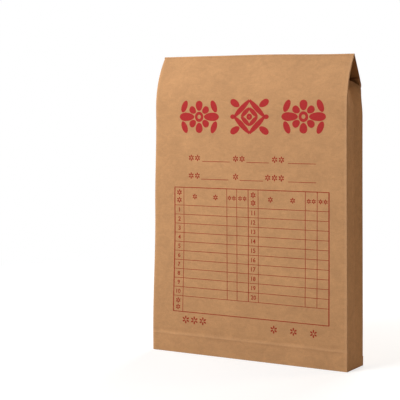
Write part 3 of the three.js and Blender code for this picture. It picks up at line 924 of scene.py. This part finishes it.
def make_inner_layer(name, node, net, layer, place_at, flip=False):
    """One of the bottom's glued layers. net holds its places in the bag's width and depth."""
    top = layer * LAYER + PAPER - LAYER_PRESSED

    def outer_at(x, y):
        sag = INNER_SAG * ripple(x, y, 79.3, 18) if layer == 2 else 0.0
        return Vector((x, y, top + min(LAYER_PRESSED, sag))), Vector((0, 0, 1))

    made = closed_sheet(name, net, outer_at, PAPER - 2 * LAYER_PRESSED, True, place_at, flip)
    dress(made, "kraft_inside", node, body="back")
    fold_flat(made)


def make_inner_layers():
    """Two corner tucks, wide at the side wall and narrow at their tips, and the flap on them."""
    for word, side in (("left", -1), ("right", 1)):
        flat, quads = plan(spread(INNER_SIDE - BOTTOM_TUCK_LENGTH, INNER_SIDE, 2.0), spread(-1, 1, 0.125))
        taper = BOTTOM_TUCK_TAPER / BOTTOM_TUCK_LENGTH
        fitted = [(side * x, share * (INNER_WALL - taper * (INNER_SIDE - x))) for x, share in flat]
        make_inner_layer(f"{word}_bottom_tuck_sheet", f"{word}_bottom_tuck", (fitted, quads), 1,
                         lambda x, y: (x, 200, y), side < 0)
    flat, quads = plan(spread(-1, 1, 0.08), spread(INNER_WALL - INNER_FLAP_DEPTH, INNER_WALL, 2.0))
    taper = INNER_FLAP_TAPER / INNER_FLAP_DEPTH
    fitted = [(share * (INNER_SIDE - taper * (INNER_WALL - y)), y) for share, y in flat]
    make_inner_layer("bottom_inner_sheet", "bottom_inner_flap", (fitted, quads), 2,
                     lambda x, y: (x, 240, y))


# The closing flap swells between its glue, and its upper edge curls off the back in places
CLOSING_SWELL = 0.07
CLOSING_CURL, CURLED_SHARES = 0.16, (0.86, 1.0)
CLOSING_EDGE_WAVES = ((0.3, 61.2, 24), (0.1, 3.9, 6))


def make_closing_flap():
    """The bottom's last flap, glued up the back, its upper edge cut a little unevenly."""
    reach = HALF_WIDTH - CLOSING_FLAP_INSET
    flat, quads = plan(mirrored(spread(-reach, reach, 2.5),
                                spread(reach, HALF_WIDTH, CLOSING_FLAP_INSET / 6)[1:]),
                       spread(0, CLOSING_FLAP_HEIGHT, 1.6))

    def height_at(x):
        if abs(x) <= reach:
            return CLOSING_FLAP_HEIGHT + ripples(x, 0, CLOSING_EDGE_WAVES)
        return CLOSING_FLAP_HEIGHT - (abs(x) - reach)

    def outer_at(x, z):
        share = z / CLOSING_FLAP_HEIGHT
        swell = (CLOSING_SWELL * (1 + ripple(x, z * 2, 67.1, 20)) * smooth_rise(share * 3)
                 * smooth_rise((1.05 - share) * 4))
        top = CLOSING_CURL * over(share, CURLED_SHARES) * (1 + 0.8 * ripple(x, 0, 71.7, 9))
        x = math.copysign(min(abs(x), HALF_WIDTH - 0.15), x)
        return Vector((x, HALF_DEPTH + LAYER + swell + top, z)), Vector((0, 1, 0))

    fitted = [(x, z * height_at(x) / CLOSING_FLAP_HEIGHT) for x, z in flat]
    made = closed_sheet("bottom_closing_sheet", (fitted, quads), outer_at,
                        place_at=lambda u, v: (u, 120, v), flip=True)
    dress(made, "kraft", "bottom_closing_flap", body="back")


make_front()
make_back()
make_flap()
make_gusset(-1, "left")
make_gusset(1, "right")
make_bottom()
make_inner_layers()
make_closing_flap()


# Print: ribbons of ink that stand a little off the paper and reach a little into it
INK_LIFT = 0.06
INK_DEPTH = 0.14
DIGIT_WEIGHT = 0.018


def between(start, end, share):
    return tuple(a + (b - a) * share for a, b in zip(start, end))


class Print:
    """Ribbons of ink on a surface. surface(x, z) gives the paper's point and its normal."""

    def __init__(self, surface, facing=1):
        self.surface = surface
        self.facing = facing
        self.points = []
        self.faces = []

    def plate(self, flat, quads):
        """A closed plate over a flat net of places."""
        start = len(self.points)
        for lift in (INK_LIFT, INK_LIFT - INK_DEPTH):
            for x, z in flat:
                point, normal = self.surface(x, z)
                self.points.append(point + normal * lift)
        for face in thick_faces(quads, len(flat)):
            face = tuple(start + k for k in face)
            self.faces.append(face if self.facing > 0 else face[::-1])

    def patch(self, grid, looped=False):
        """A plate over rows of places. A looped grid joins its last row to its first."""
        rows, wide = len(grid), len(grid[0])
        pairs = [(row * wide, (row + 1) % rows * wide) for row in range(rows if looped else rows - 1)]
        self.plate([place for row in grid for place in row],
                   [(a + col, a + col + 1, b + col + 1, b + col) for a, b in pairs
                    for col in range(wide - 1)])

    def stroke(self, spine, widths, across):
        """A ribbon along a line of places, with a half width at each."""
        grid = []
        for k, (x, z) in enumerate(spine):
            way = Vector(spine[min(len(spine) - 1, k + 1)]) - Vector(spine[max(0, k - 1)])
            side = Vector((-way.y, way.x)).normalized() * widths[k]
            grid.append([(x + side.x * (1 - 2 * c / across), z + side.y * (1 - 2 * c / across))
                         for c in range(across + 1)])
        self.patch(grid)

    def bar(self, start, end, half, step=3.5):
        """A straight rule with square ends."""
        count = max(1, math.ceil(math.dist(start, end) / step))
        spine = [between(start, end, k / count) for k in range(count + 1)]
        self.stroke(spine, [half] * (count + 1), 1)

    def petal(self, start, end, half, belly, steps, across, blunt=0.12):
        """A brush-like drop from start to end, widest at belly."""
        spine, widths = [], []
        for k in range(steps + 1):
            t = 0.5 - 0.5 * math.cos(math.pi * k / steps)
            spine.append(between(start, end, t))
            side = t / belly if t < belly else (1 - t) / (1 - belly)
            widths.append(half * max(blunt, math.sqrt(max(0.0, 1 - (1 - side) ** 2))))
        widths[0] = widths[-1] = half * blunt
        self.stroke(spine, widths, across)

    def ring(self, centre, radius, half, steps=48):
        angles = [2 * math.pi * k / steps for k in range(steps)]
        self.patch([[(centre[0] + r * math.sin(angle), centre[1] + r * math.cos(angle))
                     for r in (radius + half, radius, radius - half)] for angle in angles], True)

    def cluster(self, x, z, size, weight):
        """A small neutral printer's flower in place of a word's sign: six leaves round a point."""
        reach = size / 2
        for turn in range(6):
            way = (reach * math.sin(math.radians(60 * turn)), reach * math.cos(math.radians(60 * turn)))
            self.petal((x + way[0] * 0.24, z + way[1] * 0.24), (x + way[0] * 1.06, z + way[1] * 1.06),
                       0.2 * reach * weight, 0.6, 5, 2)

    def digits(self, text, centre, height):
        """Plain numbers from the built-in typeface."""
        curve = bpy.data.curves.new("digits", "FONT")
        curve.body = text
        curve.resolution_u = 3
        curve.offset = DIGIT_WEIGHT
        holder = bpy.data.objects.new("digits", curve)
        mesh = holder.to_mesh()
        places = [v.co.copy() for v in mesh.vertices]
        polygons = [tuple(p.vertices) for p in mesh.polygons]
        holder.to_mesh_clear()
        bpy.data.objects.remove(holder)
        bpy.data.curves.remove(curve)
        low, high = (Vector((end(p.x for p in places), end(p.y for p in places))) for end in (min, max))
        scale = height / (high.y - low.y)
        middle = (low + high) / 2
        welded, remap, flat = {}, [], []
        for p in places:
            key = (round(p.x, 5), round(p.y, 5))
            if key not in welded:
                welded[key] = len(flat)
                flat.append((centre[0] + (p.x - middle.x) * scale, centre[1] + (p.y - middle.y) * scale))
            remap.append(welded[key])
        faces = [tuple(remap[k] for k in face) for face in polygons]
        self.plate(flat, [face for face in faces if len(set(face)) == len(face)])

    def finish(self, name, material):
        return add_mesh(name, self.points, self.faces, [material], smooth=False)


# Title ornaments: three leafy blocks of the size and weight of bold lettering
TITLE_PLACES = ((-60.7, 267.8), (4.2, 268.0), (69.6, 268.2))
TITLE_HALF_WIDTH = 24.0
TITLE_HALF_HEIGHT = 18.25
HEART = 6.6


def in_title(centre, right, up):
    """A place in an ornament, in shares of its half width and half height."""
    return centre[0] + right * TITLE_HALF_WIDTH, centre[1] + up * TITLE_HALF_HEIGHT


def rosette(title, centre):
    """Eight broad leaves, four side drops and a ringed heart."""
    for turn in range(8):
        right, up = math.sin(math.radians(45 * turn)), math.cos(math.radians(45 * turn))
        slanting = turn % 2 == 1
        reach = 0.98 if turn in (2, 6) else 0.66 if slanting else 0.56
        title.petal((centre[0] + right * HEART, centre[1] + up * HEART),
                    in_title(centre, right * reach * 1.12, up * (0.78 if slanting else 0.98)),
                    4.0 if slanting else 4.7, 0.62, 12, 4)
    title.ring(centre, 4.0, 1.7)
    for side, up in product((-1, 1), (-1, 1)):
        title.petal(in_title(centre, side * 0.95, up * 0.28), in_title(centre, side * 0.7, up * 0.98),
                    3.7, 0.5, 10, 3)


def lattice(title, centre):
    """A lozenge knot with leaves at its corners."""
    for scale, half in ((0.98, 3.0), (0.52, 2.55)):
        corners = [in_title(centre, right * scale * 0.8, up * scale)
                   for right, up in ((0, 1), (1, 0), (0, -1), (-1, 0))]
        for k in range(4):
            title.petal(corners[k], corners[(k + 1) % 4], half, 0.5, 14, 3, 0.5)
    for side in (-1, 1):
        for up in (-1, 1):
            title.petal(in_title(centre, side * 0.52, up * 0.62), in_title(centre, side * 0.98, up * 0.98),
                        3.8, 0.6, 10, 4)
        title.petal(in_title(centre, side * 0.72, 0), in_title(centre, side, 0), 2.6, 0.5, 8, 3)
    title.ring(centre, 1.9, 1.6)


def make_title():
    title = Print(front_point)
    for ornament, centre in zip((rosette, lattice, rosette), TITLE_PLACES):
        ornament(title, centre)
    bend_with_front(title.finish("front_title_print", RED_INK))


# The form's rules, its table and the small marks in place of its words, in places on the front
TABLE_LEFT, TABLE_RIGHT = -92.6, 99.6
TABLE_TOP, TABLE_HEAD, TABLE_LAST, TABLE_FOOT = 188.8, 168.6, 65.4, 47.4
TABLE_ROWS = 10
TABLE_COLUMNS = (-80.6, -24.6, -12.0, 2.4, 14.8, 72.0, 86.0)
MIDDLE_RULE = 2.4
RULE = 0.29
COLUMN_RULE = 0.32
FRAME_RULE = 0.42
FRAME_SIDE = 0.58
DIGIT_HEIGHT = 4.9

# Each field row: its height, the places of its labels, and its rules from left to right
FIELD_ROWS = (
    (218.4, (-71.0, -62.8, -13.2, -5.0, 35.2, 43.4), ((-56.3, -20.3), (0.5, 28.3), (51.4, 84.5))),
    (198.6, (-71.0, -62.8, -13.2, 26.8, 35.0, 43.2), ((-57.8, -22.3), (-8.2, 20.9), (51.3, 84.6))),
)
LABEL_SIZE = 6.8
LABEL_RISE = 3.7
LABEL_WEIGHT = 1.22
CELL_WEIGHT = 1.3

# The marks under the table, as (place, height, size, weight)
FOOT_MARKS = ([(x, 38.6, 8.6, 1.08) for x in (-76.6, -66.0, -55.4)]
              + [(x, 37.3, 8.4, 1.1) for x in (33.8, 57.9, 81.9)])


def make_form():
    form = Print(front_point)
    for z, labels, rules in FIELD_ROWS:
        for x in labels:
            form.cluster(x, z + LABEL_RISE, LABEL_SIZE, LABEL_WEIGHT)
        for left, right in rules:
            form.bar((left, z), (right, z), RULE)
    for z in (TABLE_TOP, TABLE_FOOT):
        form.bar((TABLE_LEFT - FRAME_RULE, z), (TABLE_RIGHT + FRAME_RULE, z), FRAME_RULE)
    for x in (TABLE_LEFT, TABLE_RIGHT):
        form.bar((x, TABLE_FOOT), (x, TABLE_TOP), FRAME_SIDE)
    pitch = (TABLE_HEAD - TABLE_LAST) / TABLE_ROWS
    for row in range(TABLE_ROWS + 1):
        z = TABLE_HEAD - pitch * row
        form.bar((TABLE_LEFT, z), (TABLE_RIGHT, z), RULE)
    for k, x in enumerate(TABLE_COLUMNS):
        low = TABLE_FOOT if k == 0 else TABLE_LAST
        form.bar((x, low), (x, TABLE_TOP), FRAME_RULE if x == MIDDLE_RULE else COLUMN_RULE)
    edges = (TABLE_LEFT,) + TABLE_COLUMNS + (TABLE_RIGHT,)
    middles = [(a + b) / 2 for a, b in zip(edges, edges[1:])]
    head = (TABLE_TOP + TABLE_HEAD) / 2
    for half in (0, 4):
        number_x, wide_x = middles[half:half + 2]
        for rise in (4.3, -4.3):
            form.cluster(number_x, head + rise, 6.3, CELL_WEIGHT)
        for shift in (-13.5, 13.5):
            form.cluster(wide_x + shift, head, 6.0, CELL_WEIGHT)
        for small_x, shift in product(middles[half + 2:half + 4], (-2.9, 2.9)):
            form.cluster(small_x + shift, head, 5.0, CELL_WEIGHT)
        for row in range(TABLE_ROWS):
            number = row + 1 + (TABLE_ROWS if half else 0)
            form.digits(str(number), (number_x, TABLE_HEAD - pitch * (row + 0.5)), DIGIT_HEIGHT)
    for rise in (3.7, -3.7):
        form.cluster(middles[0], (TABLE_LAST + TABLE_FOOT) / 2 + rise, 5.8, CELL_WEIGHT)
    for mark in FOOT_MARKS:
        form.cluster(*mark)
    bend_with_front(form.finish("front_form_print", THIN_INK))


# On the flap: a dot in a plain ring. On the back: a framed notice of plain flowers.
RING_MARK = (95.0, 25.6)
RING_MARK_RADIUS = 5.2
RING_MARK_HALF = 0.85
RING_MARK_DOT = 1.1
NOTICE = (-26.5, 36.0, 176.5, 214.0)
NOTICE_RULE = 0.3
NOTICE_COLUMNS, NOTICE_ROWS = 4, 2
NOTICE_PITCH = (14.5, 13.4)
NOTICE_MARGIN = (9.5, 12.2)
NOTICE_MARK = 9.6


def make_flap_mark():
    mark = Print(flap_point)
    mark.ring(RING_MARK, RING_MARK_RADIUS, RING_MARK_HALF)
    mark.ring(RING_MARK, RING_MARK_DOT, RING_MARK_DOT - 0.15)
    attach(mark.finish("flap_ring_print", RED_INK), "flap")


def make_notice():
    left, right, low, high = NOTICE
    rules = Print(back_point, facing=-1)
    for z in (low, high):
        rules.bar((left - NOTICE_RULE, z), (right + NOTICE_RULE, z), NOTICE_RULE)
    for x in (left, right):
        rules.bar((x, low), (x, high), NOTICE_RULE)
    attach(rules.finish("back_notice_frame", THIN_INK), "back")
    marks = Print(back_point, facing=-1)
    for row, col in product(range(NOTICE_ROWS), range(NOTICE_COLUMNS)):
        marks.cluster(right - NOTICE_MARGIN[0] - NOTICE_PITCH[0] * col,
                      high - NOTICE_MARGIN[1] - NOTICE_PITCH[1] * row, NOTICE_MARK, 1.25)
    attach(marks.finish("back_notice_print", RED_INK), "back")


make_title()
make_form()
make_flap_mark()
make_notice()


def lathe(name, axis_at, axis, profile, materials, segments, slot_of=None):
    """A closed ring turned about an axis, from a profile of (radius, height)."""
    axis = Vector(axis).normalized()
    side = Vector((1.0, 0.0, 0.0))
    third = axis.cross(side)
    points = []
    for k in range(segments):
        angle = 2 * math.pi * k / segments
        out = side * math.cos(angle) + third * math.sin(angle)
        points += [axis_at + out * radius + axis * height for radius, height in profile]
    wide = len(profile)
    faces = [(a + p, b + p, b + (p + 1) % wide, a + (p + 1) % wide)
             for a, b in ((k * wide, (k + 1) % segments * wide) for k in range(segments))
             for p in range(wide)]
    slots = [slot_of(place) if slot_of else 0 for place in profile] * segments
    made = add_mesh(name, points, faces, materials, slots)
    sharpen(made, 50)
    return made


def rounded(corners, radii, steps=4):
    """The closed profile with its corners rounded, each by its own radius."""
    out = []
    for k, (corner, radius) in enumerate(zip(corners, radii)):
        here = Vector(corner)
        before = Vector(corners[k - 1]) - here
        after = Vector(corners[(k + 1) % len(corners)]) - here
        cut = min(radius, before.length * 0.45, after.length * 0.45)
        first, last = here + before.normalized() * cut, here + after.normalized() * cut
        for t in spread(0, 1, 1 / steps):
            out.append(tuple(first * (1 - t) ** 2 + here * 2 * t * (1 - t) + last * t ** 2))
    return out


# The eyelet's rolled crown presses a dish into the card round the hole
DISH = 0.16
DISH_WALL = (2.6, 4.8)
DISH_RADII = (9.5, 7.0, 5.4, 4.6, 3.9, 3.2, 2.7)
CROWN = 0.34
EYELET_EDGE = 0.1


def make_button(word, body, disc_body, at, axis):
    low, top, inner = BUTTON_STANDOFF, BUTTON_TOP, HOLE_RADIUS
    disc = rounded(((inner, low), (BUTTON_RADIUS, low), (BUTTON_RADIUS, top), (inner, top)),
                   (0.05, 0.2, 0.26, 0.05))
    rim = [p for p in disc if p[0] > BUTTON_RADIUS / 2]
    hole_low = [p for p in disc if p[0] <= BUTTON_RADIUS / 2 and p[1] < (low + top) / 2]
    face = [(r, top - DISH * (1 - over(r, DISH_WALL))) for r in DISH_RADII]
    hole_top = [(inner + 0.05, top - DISH), (inner, top - DISH - 0.05)]

    def cut_edge(place):
        return int(place[0] > BUTTON_RADIUS - 0.05 and low + 0.12 < place[1] < top - 0.2)

    made = lathe(f"{word}_button_card", at, axis, hole_low + rim + face + hole_top,
                 [CARD, CARD_EDGE], 96, cut_edge)
    dress(made, "button_card", f"{word}_button", body=disc_body)

    foot = EYELET_FOOT
    under_crown = EYELET_TOP - EYELET_SHEET - DISH
    middle = (EYELET_BORE + EYELET_FLANGE) / 2
    edge = EYELET_EDGE
    profile = [(EYELET_BORE, foot + edge), (EYELET_BORE + edge, foot), (EYELET_FLANGE - edge, foot),
               (EYELET_FLANGE, foot + edge), (EYELET_FLANGE, foot + EYELET_SHEET - 0.02),
               (EYELET_BARREL, foot + EYELET_SHEET), (EYELET_BARREL, under_crown),
               (EYELET_FLANGE - 0.12, under_crown + 0.01)]
    profile += [(middle + (EYELET_FLANGE - middle) * math.cos(angle),
                 EYELET_TOP - CROWN + CROWN * math.sin(angle))
                for angle in spread(0, math.pi, math.pi / 12)]
    made = lathe(f"{word}_eyelet_ring", at, axis, profile, [NICKEL], 56)
    dress(made, "eyelet_metal", f"{word}_eyelet", body=body)


make_button("body", "back", "body_disc", Vector((BODY_BUTTON_X, HALF_DEPTH, BODY_BUTTON_HEIGHT)),
            (0, 1, 0))
make_button("flap", "flap", "flap_disc",
            RIDGE + Vector((FLAP_BUTTON_X, 0, 0)) + DOWN_FLAP * FLAP_BUTTON_DROP + OFF_FLAP * PAPER,
            OFF_FLAP)

for node_name in ("flap_washer", "body_washer", "seam_lap"):
    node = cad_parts[node_name]
    node.data.materials.clear()
    node.data.materials.append(KRAFT_SOLID)


# The string, along the route of part.mjs. A strand's corners are (share of the way from the
# body button to the flap button, place right of the body button).
RISING_STRAND = ((0.26, 6.4), (0.36, 4.6), (0.453, 2.9), (0.543, 1), (0.651, -1), (0.786, -1.7),
                 (0.88, -1.9))
FALLING_STRAND = ((0.88, 6.8), (0.82, 5.6), (0.757, 3.6), (0.651, 1.1), (0.55, -0.8), (0.443, -2.9),
                  (0.309, -4.9), (0.19, -6.4))
CROSSING_SHARE = 0.59
CROSSING_SPREAD = 0.1
STRAND_STEPS = 20
PLIES = 2
PLY_PITCH = 4.4
STRING_STEP = 0.28
STRING_SIDES = 18
END_SHARE, END_REACH = 0.72, 1.2
TAIL_FIBRES = 9
FIBRE_RADIUS, FIBRE_TAPER = 0.1, 0.015
FIBRE_PITCH, FIBRE_SIDES = 9.0, 6


def height_on_flap(drop):
    return RIDGE_HEIGHT - drop * math.cos(BACK_LEAN)


def on_back(right, z, lift):
    """A point of the string, right of the body button and lifted from the paper."""
    edge_height = height_on_flap(FLAP_LENGTH)
    rest_height = BODY_BUTTON_HEIGHT + BUTTON_RADIUS
    stretch = 1 / math.cos(BACK_LEAN)

    def flap_face(height):
        return (RIDGE_HEIGHT - height) * math.tan(BACK_LEAN) + PAPER * stretch

    surface = flap_face(z)
    raised = lift * stretch
    if z < edge_height:
        share = max(0.0, (z - rest_height) / (edge_height - rest_height))
        surface = HALF_DEPTH + (flap_face(edge_height) - HALF_DEPTH) * share
        raised = lift * (1 + (stretch - 1) * share)
    raised += EDGE_HUMP * mound(z - edge_height, EDGE_HUMP_REACH)
    return Vector((BODY_BUTTON_X - right, surface + raised, z))


def cubic(p1, p2, v1, v2, t):
    """The cubic from p1 to p2 that leaves with v1 and arrives with v2."""
    return ((p1 - p2) * 2 + v1 + v2) * t ** 3 + ((p2 - p1) * 3 - v1 * 2 - v2) * t ** 2 + v1 * t + p1


def uniform_spline(corners, steps):
    """Catmull-Rom through the corners, at even steps of its parameter."""
    corners = [Vector(corner) for corner in corners]
    last = len(corners) - 1
    out = []
    for k in range(steps + 1):
        at = min(last * k // steps, last - 1)
        p0, p1, p2, p3 = corners[max(at - 1, 0)], corners[at], corners[at + 1], corners[min(at + 2, last)]
        out.append(cubic(p1, p2, (p2 - p0) / 2, (p3 - p1) / 2, last * k / steps - at))
    return out


def centripetal(points, per_span=10):
    """Centripetal Catmull-Rom through the points, as the CAD's curve has it."""
    ends = [points[0] * 2 - points[1]] + points + [points[-1] * 2 - points[-2]]
    out = []
    for p0, p1, p2, p3 in zip(ends, ends[1:], ends[2:], ends[3:]):
        d0, d1, d2 = (max(1e-4, (b - a).length ** 0.5) for a, b in ((p0, p1), (p1, p2), (p2, p3)))
        v1 = ((p1 - p0) / d0 - (p2 - p0) / (d0 + d1) + (p2 - p1) / d1) * d1
        v2 = ((p2 - p1) / d1 - (p3 - p1) / (d1 + d2) + (p3 - p2) / d2) * d1
        out += [cubic(p1, p2, v1, v2, step / per_span) for step in range(per_span)]
    return out + [points[-1]]


def string_route():
    points = []

    def add(right, up, lift):
        points.append(on_back(right, BODY_BUTTON_HEIGHT + up, lift))

    def turn_round(radius, angle, lift):
        add(radius * math.cos(angle), radius * math.sin(angle), lift)

    span = height_on_flap(FLAP_BUTTON_DROP) - BODY_BUTTON_HEIGHT

    # Anchor turn, low under the body button, widening to the button's right
    for share in spread(0, 1, 1 / 14):
        turn_round(ANCHOR_TURN_RADIUS + (0.62 * BUTTON_RADIUS - ANCHOR_TURN_RADIUS) * share ** 2,
                   math.radians(-300 * (1 - share)), LOW_LIFT)
    start = Vector((0.73 * BUTTON_RADIUS, 0.96 * BUTTON_RADIUS))
    axis = Vector((-0.27, 0.963))
    add(start.x, 0.4 * BUTTON_RADIUS, LOW_LIFT)
    add(start.x + 0.15, 0.72 * BUTTON_RADIUS, LOW_LIFT)

    # Knot: a short coil beside the button's edge
    for turn in spread(0, KNOT_TURNS, 1 / 8):
        angle = 2 * math.pi * turn
        along = start + axis * turn * KNOT_PITCH
        sideways = KNOT_RADIUS * math.sin(angle)
        add(along.x + sideways * axis.y, along.y - sideways * axis.x,
            LOW_LIFT + KNOT_RADIUS * (1 - math.cos(angle)))

    # Up, over the flap button's eyelet, and down across itself
    for share, right in uniform_spline(RISING_STRAND, STRAND_STEPS):
        add(right, share * span, LOW_LIFT)
    turn_centre = BODY_BUTTON_X - FLAP_BUTTON_X + UPPER_TURN_OFFSET
    for angle in spread(math.pi, 0, -math.pi / 10):
        drop = FLAP_BUTTON_DROP - UPPER_TURN_RADIUS * math.sin(angle)
        add(turn_centre + UPPER_TURN_RADIUS * math.cos(angle),
            height_on_flap(drop) - BODY_BUTTON_HEIGHT, (LOW_LIFT + HIGH_LIFT) / 2)
    for share, right in uniform_spline(FALLING_STRAND, STRAND_STEPS):
        hop = (STRING_DIAMETER + TURN_GAP) * mound(share - CROSSING_SHARE, CROSSING_SPREAD)
        add(right, share * span, LOW_LIFT + hop)

    # Loose turn, high under the body button, then the tail along the button's edge
    for share in spread(0, 1, 1 / 16):
        turn_round(LOWER_TURN_RADIUS + (0.8 * BUTTON_RADIUS - LOWER_TURN_RADIUS) * share ** 2,
                   math.radians(155 + 200 * share), HIGH_LIFT)
    for angle, fall in ((0.13, 0.15), (0.32, 0.35), (0.5, 0.5), (0.66, 0.6)):
        turn_round(BUTTON_RADIUS + STRING_RADIUS + FOLD_GAP, angle, HIGH_LIFT - fall)
    return points


def even_steps(points, step):
    """The line's points at even steps of its length, and that length."""
    lengths = [0.0]
    for a, b in zip(points, points[1:]):
        lengths.append(lengths[-1] + (b - a).length)
    total = lengths[-1]
    count = math.ceil(total / step)
    out = []
    at = 0
    for k in range(count + 1):
        goal = total * k / count
        while at < len(points) - 2 and lengths[at + 1] < goal:
            at += 1
        gap = lengths[at + 1] - lengths[at]
        out.append(points[at].lerp(points[at + 1], (goal - lengths[at]) / gap if gap > 0 else 0.0))
    return out, total


def tube(points, faces, places, path, radius_at, twist_pitch, sides, plies, seed):
    """Adds a twisted strand along a path, closed at both ends."""
    start = len(points)
    side = (path[1] - path[0]).normalized().orthogonal()
    length = 0.0
    for k, centre in enumerate(path):
        ahead = (path[min(k + 1, len(path) - 1)] - path[max(k - 1, 0)]).normalized()
        side = (side - ahead * side.dot(ahead)).normalized()
        third = ahead.cross(side)
        if k:
            length += (centre - path[k - 1]).length
        turn = 2 * math.pi * length / twist_pitch
        for s in range(sides):
            angle = 2 * math.pi * s / sides
            radius = radius_at(k) * (1 + 0.05 * noise.noise(Vector((length * 0.9, seed, s * 0.3))))
            if plies:
                radius *= 0.7 + 0.34 * abs(math.cos((angle - turn) * plies / 2))
            points.append(centre + (side * math.cos(angle) + third * math.sin(angle)) * radius)
            places.append((length, radius_at(k) * (angle - turn), 0.0))
    around = [(s, (s + 1) % sides) for s in range(sides)]
    for base in range(start, start + (len(path) - 1) * sides, sides):
        faces += [(base + s, base + t, base + sides + t, base + sides + s) for s, t in around]
    for k, end_length in ((0, 0.0), (len(path) - 1, length)):
        base, centre = start + k * sides, len(points)
        points.append(path[k].copy())
        places.append((end_length, 0.0, 0.0))
        faces += [(base + s, base + t, centre) if k else (base + t, base + s, centre) for s, t in around]


def make_string():
    path, length = even_steps(centripetal(string_route()), STRING_STEP)
    points, faces, places = [], [], []

    def radius_at(k):
        end = min(k, len(path) - 1 - k) * STRING_STEP
        return STRING_RADIUS * (END_SHARE + (1 - END_SHARE) * smooth_rise(end / END_REACH))

    tube(points, faces, places, path, radius_at, PLY_PITCH, STRING_SIDES, PLIES, 0.0)

    # The tail's end is cut and frays into a few fibres
    draw = random.Random(7)
    tip = path[-1]
    way = (tip - path[-6]).normalized()
    for _ in range(TAIL_FIBRES):
        bend = Vector((draw.uniform(-1, 1), draw.uniform(-0.5, 0.5), draw.uniform(-1, 1)))
        reach = draw.uniform(1.2, 2.6)
        start = tip - way * 0.35 + bend * 0.12
        fibre = [start + way * reach * t + bend * 0.42 * t * t * reach for t in (0, 0.25, 0.5, 0.75, 1)]
        tube(points, faces, places, fibre, lambda k: FIBRE_RADIUS - FIBRE_TAPER * k, FIBRE_PITCH,
             FIBRE_SIDES, 0, 5.0)
    made = add_mesh("closure_cord", points, faces, [COTTON])
    keep_at_points(made, STRING_PLACE, places)
    dress(made, "string", "closure_string")
    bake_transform(made)
    print(f"string {length:.1f} mm")


make_string()


# Floor and light. The floor is pale and matt for the light, and the camera sees it white,
# darkened only by the soft shadow close to the object.
FLOOR_COLOUR = (0.42, 0.39, 0.35, 1.0)
FLOOR_SIZE = 12.0
FLOOR_NEAR = 250.0
FLOOR_FAR = 900.0
FLOOR_SHADE = 0.42
FLOOR_GLOW = 0.66
WORLD_STRENGTH = 0.078
WORLD_COLOUR = (1.0, 0.82, 0.63, 1.0)

# Each lamp: name, place, target, side, power and colour
LAMPS = (
    ("key", (-0.42, -0.92, 0.84), (0, 0, 0.16), 0.55, 13.6, (1.0, 1.0, 1.0)),
    ("back_key", (-0.14, 1.04, 0.86), (0, 0, 0.16), 0.6, 11.3, (0.98, 1.0, 1.0)),
    ("side_fill", (0.85, 0.85, 0.9), (0.1, 0, 0.17), 0.45, 4.6, (1.0, 0.73, 0.48)),
    ("left_fill", (-1.3, 0.2, 0.5), (-0.1, 0, 0.17), 0.6, 4.0, (1.0, 0.9, 0.78)),
)


def floor_material():
    shader = Shader("floor_pale")
    shader.finish(Base_Color=FLOOR_COLOUR, Roughness=0.95)
    level = shader.stretch(shader.place(), (1.0, 1.0, 0.0))
    away = shader.node("ShaderNodeVectorMath", {0: level}, operation="LENGTH").outputs["Value"]
    near = shader.span(away, FLOOR_NEAR, FLOOR_FAR, 1.0, 0.0)
    shade = shader.times(near, FLOOR_SHADE)
    tint = shader.node("ShaderNodeCombineColor", {"Red": shade, "Green": shade, "Blue": shade})
    shown = shader.node("ShaderNodeBsdfDiffuse", {"Color": tint.outputs["Color"]}).outputs[0]
    glow = shader.node("ShaderNodeEmission", {"Strength": shader.span(near, 0.0, 1.0, 1.0, FLOOR_GLOW)})
    seen = shader.node("ShaderNodeAddShader", {0: shown, 1: glow.outputs[0]}).outputs[0]
    shader.feed(shader.out.inputs["Surface"], shader.lit_or_seen(shader.surface.outputs["BSDF"], seen))
    return shader.material


def add_stage():
    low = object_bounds()[0].z - 0.0002
    mesh = bpy.data.meshes.new("floor")
    mesh.from_pydata([(x * FLOOR_SIZE, y * FLOOR_SIZE, low)
                      for x, y in ((-1, -1), (1, -1), (1, 1), (-1, 1))], [], [(0, 1, 2, 3)])
    mesh.materials.append(floor_material())
    add_object("floor", mesh)


def add_lamp(name, at, target, side, power, colour):
    data = bpy.data.lights.new(name, "AREA")
    data.shape = "RECTANGLE"
    data.size = data.size_y = side
    data.energy = power
    data.color = colour
    lamp = add_object(name, data)
    lamp.location = at
    lamp.rotation_euler = (Vector(target) - Vector(at)).to_track_quat("-Z", "Y").to_euler()


def add_world():
    world = bpy.data.worlds.new("studio")
    world.use_nodes = True
    sky = Nodes(world.node_tree)
    lit, seen = (sky.node("ShaderNodeBackground", {"Color": colour, "Strength": strength}).outputs[0]
                 for colour, strength in ((WORLD_COLOUR, WORLD_STRENGTH), ((1, 1, 1, 1), 1.0)))
    sky.node("ShaderNodeOutputWorld", {"Surface": sky.lit_or_seen(lit, seen)})
    bpy.context.scene.world = world


add_world()
add_stage()
for lamp_values in LAMPS:
    add_lamp(*lamp_values)

bpy.context.scene.view_settings.view_transform = "Standard"
